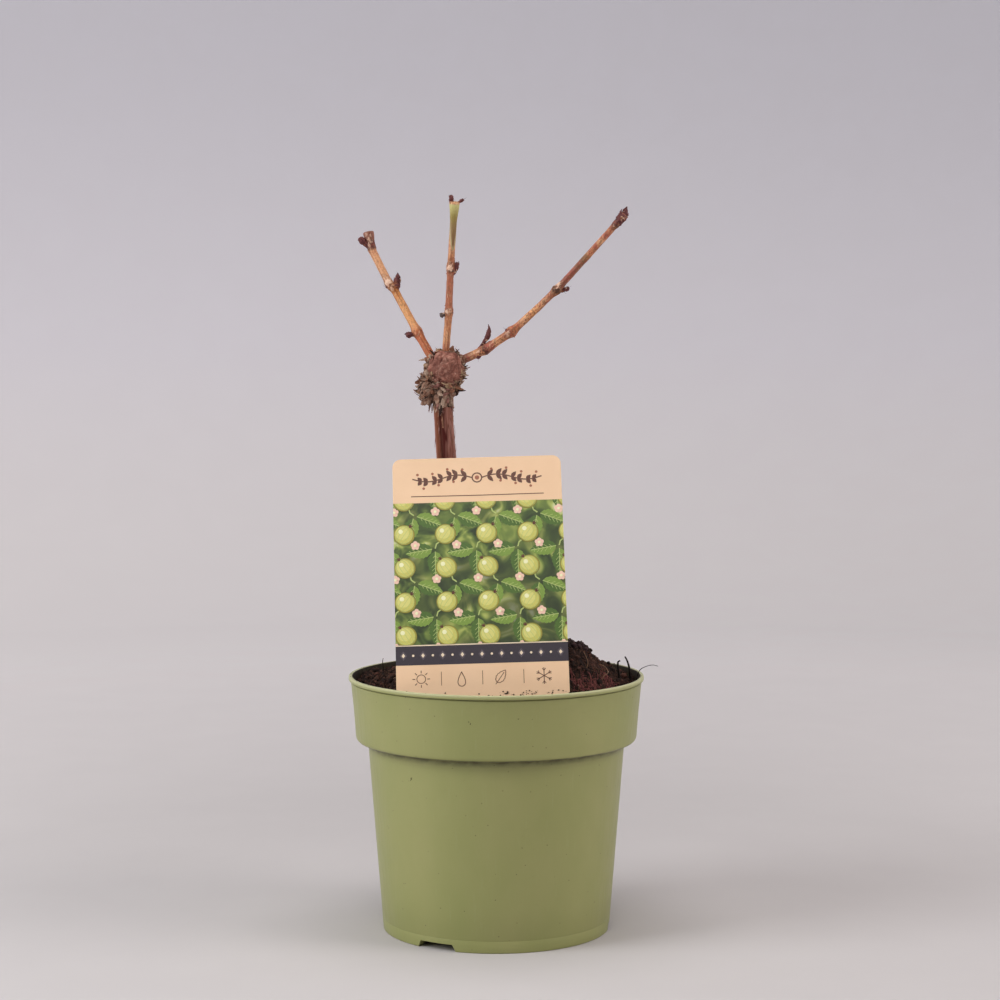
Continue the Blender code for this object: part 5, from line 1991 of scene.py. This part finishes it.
def printSprig(heap, place, turn, box):
    # two leaves and a berry on a stalk
    for spread in sprig["leafTurns"]:
        way = turn + spread
        printLeaf(heap, offset(place, way, sprig["leafRoot"]), way, box)
    stalk = [place, offset(place, turn + 0.35, 3.0), offset(place, turn, 6.0)]
    printLine(heap, stalk, 0.8, 4, "vein", box)
    printBerry(heap, offset(place, turn, sprig["stalk"] + sprig["berryRadius"]), turn, box)


def printBlossom(heap, centre, radius, box):
    for k in range(5):
        petal = offset(centre, fullTurn * k / 5 + 0.3, radius * 0.62)
        printDisc(heap, petal, radius * 0.52, 5 + k % 2 * 0.5, "blossom", box, 14)
    printDisc(heap, centre, radius * 0.34, 6.5, "highlight", box, 14)


def printPanel(heap):
    # rows of sprigs and blossoms, every second row shifted by half a step
    box = label["panel"]
    left, bottom, right, top = box
    pitchX, pitchY = sprig["pitch"]
    row, y = 0, bottom - 4.0
    while y < top + pitchY:
        odd = row % 2
        x = left - pitchX / 2 + odd * pitchX / 2
        while x < right + pitchX:
            printSprig(heap, (x, y), sprig["turns"][odd], box)
            printBlossom(heap, (x + pitchX * 0.52, y + pitchY * 0.1), sprig["blossomRadius"], box)
            x += pitchX
        y += pitchY
        row += 1


def printBand(heap):
    # a dark band with a pale line over it and a row of dots and lozenges
    left, bottom, right, top = label["band"]
    printShape(heap, rectangle(left, bottom, right, top), 1, "band")
    printShape(heap, rectangle(left, top, right, top + 0.7), 1.5, "cream")
    middle = (bottom + top) / 2
    for k in range(-8, 9):
        x = k * 6.1
        if k % 2:
            printDisc(heap, (x, middle), 0.75, 2, "cream", sides=16)
        else:
            lozenge = [(x + 2.2, middle), (x, middle + 2.9), (x - 2.2, middle), (x, middle - 2.9)]
            printShape(heap, lozenge, 2, "bandPattern")
            inner = [(px * 0.5 + x * 0.5, py * 0.5 + middle * 0.5) for px, py in lozenge]
            printShape(heap, inner, 3, "cream")


def printHeader(heap):
    # a garland of leaves and berries over a thin rule
    printLine(heap, [(-42, 127.4), (0, 127.2), (42, 127.4)], 0.55, 1, "brown")
    for side in (-1, 1):
        stem = [(side * (3 + 38 * k / 20), 139 + 2.0 * math.sin(math.pi * k / 20 * 2.0)) for k in range(21)]
        printLine(heap, stem, 0.8, 1, "brown")
        for k in range(1, 8):
            x, y = stem[k * 20 // 8]
            for lift in (1, -1):
                turn = (0 if side > 0 else math.pi) + side * lift * 0.85
                printShape(heap, leafShape((x, y), 5.6 - 0.3 * k, 2.6, turn, 4), 1.5, "brown")
            printDisc(heap, (x + side * 2.4, y + (4.4 if k % 2 else -4.4)), 0.85, 1.5, "rust", sides=14)
    printRing(heap, (0, 139), 3.0, 0.8, 1.5, "brown")
    printDisc(heap, (0, 139), 1.4, 1.5, "rust", sides=18)


def printSigns(heap):
    # plain care signs, sun, drop, leaf and frost, with upright lines between them
    height = label["signHeight"]
    sun, frost = (-38, height), (38, height)
    printRing(heap, sun, 2.7, 0.45, 1, "brown")
    for turn in turnsRound(8):
        printLine(heap, [offset(sun, turn, reach) for reach in (3.7, 5.4)], 0.5, 1, "brown")
    drop = [(-13 + 3.3 * math.sin(t) * math.sin(t / 2) ** 1.4, height - 0.6 + 4.6 * math.cos(t))
            for t in (*turnsRound(32), fullTurn)]
    printCurve(heap, drop, 0.5, 1, "brown")
    leaf = leafShape((8.8, height - 3.4), 9.4, 5.2, 0.95, 5)
    for k in range(0, len(leaf), 4):
        printLine(heap, (leaf + leaf[:2])[k:k + 5], 0.42, 1, "brown")
    printLine(heap, [(8.0, height - 4.6), (13.4, height + 3.0)], 0.42, 1, "brown")
    for k in range(3):
        turn = math.pi * k / 3 + math.pi / 6
        printLine(heap, [offset(frost, turn, reach) for reach in (-5.2, 5.2)], 0.5, 1, "brown")
        for end in (-1, 1):
            base = offset(frost, turn, end * 3.2)
            for lean in (0.6, -0.6):
                printLine(heap, [base, offset(base, turn + lean, end * 1.9)], 0.4, 1, "brown")
    for x in (-25.5, 0.0, 25.5):
        printLine(heap, [(x, height - 4.4), (x, height + 4.4)], 0.35, 1, "brown")


def makeLabel():
    thick, bevel = label["thickness"] / mm, label["bevel"]
    rings = []
    for inset, lift in ((bevel, -thick), (0, -thick + bevel), (0, -bevel), (bevel, 0)):
        rings.append([labelPoint(a, b, lift) for a, b in cardOutline(inset)])
    count = len(rings[0])
    points, faces = tube(rings, False, False)
    faces += [tuple(reversed(range(count))), tuple(range(3 * count, 4 * count))]
    card = addPiece("labelCard", points, faces, [plasticCard()], 30, ("label",))
    faceOutwards(card.data)
    points, faces = prism(rectangle(*label["panel"]), label["sunk"], label["layer"])
    addPiece("labelPicture", points, faces, [foliageInk()], 30)
    heap = Heap()
    printPanel(heap)
    printBand(heap)
    printHeader(heap)
    printSigns(heap)
    finishes = [printInk(f"ink{name[0].upper()}{name[1:]}", *pair) for name, pair in inks.items()]
    printed = addHeap("labelPrint", heap, finishes, 30)
    faceOutwards(printed.data)


makeLabel()

# Soil marks: crumbs along the label's lower edge and specks stuck to the pot

marks = {
    "tones": {"stuckSoil": ((26, 16, 12), (58, 38, 30))},
    "alongLabel": 46,
    "onRim": 40,
    "onPot": ((-0.0158, 0.147), (0.0142, 0.149), (-0.053, 0.1075)),  # across and up
    "eachOnPot": 4,
}


def makeMarks():
    heap = Heap()
    for k in range(marks["alongLabel"]):
        across = draw.uniform(2, 52) if k % 4 else draw.uniform(-50, 50)
        place = labelPoint(across, draw.uniform(-2.6, 0.2), 0.1)
        heap.add(*crumb(place, draw.uniform(0.0002, 0.0006), bigLump if k % 3 == 0 else smallLump))
    for _ in range(marks["onRim"]):
        turn = anyTurn()
        radius = pot["rimRadius"] - draw.uniform(0.0008, 0.0022)
        place = Vector(onCircle(radius, turn, pot["height"]))
        heap.add(*crumb(place, draw.uniform(0.00015, 0.00035), smallLump))
    for x, z in marks["onPot"]:
        radius = collarRadius(z) if z > pot["collarBottom"] else bodyRadius(z)
        for _ in range(marks["eachOnPot"]):
            across = x + draw.uniform(-0.0008, 0.0008)
            front = -math.sqrt(radius ** 2 - across ** 2)
            place = Vector((across, front, z + draw.uniform(-0.0009, 0.0009)))
            heap.add(*crumb(place, draw.uniform(0.00018, 0.0004), smallLump))
    addHeap("stuckSoil", heap, looseFinishes(marks["tones"]), 60)


makeMarks()
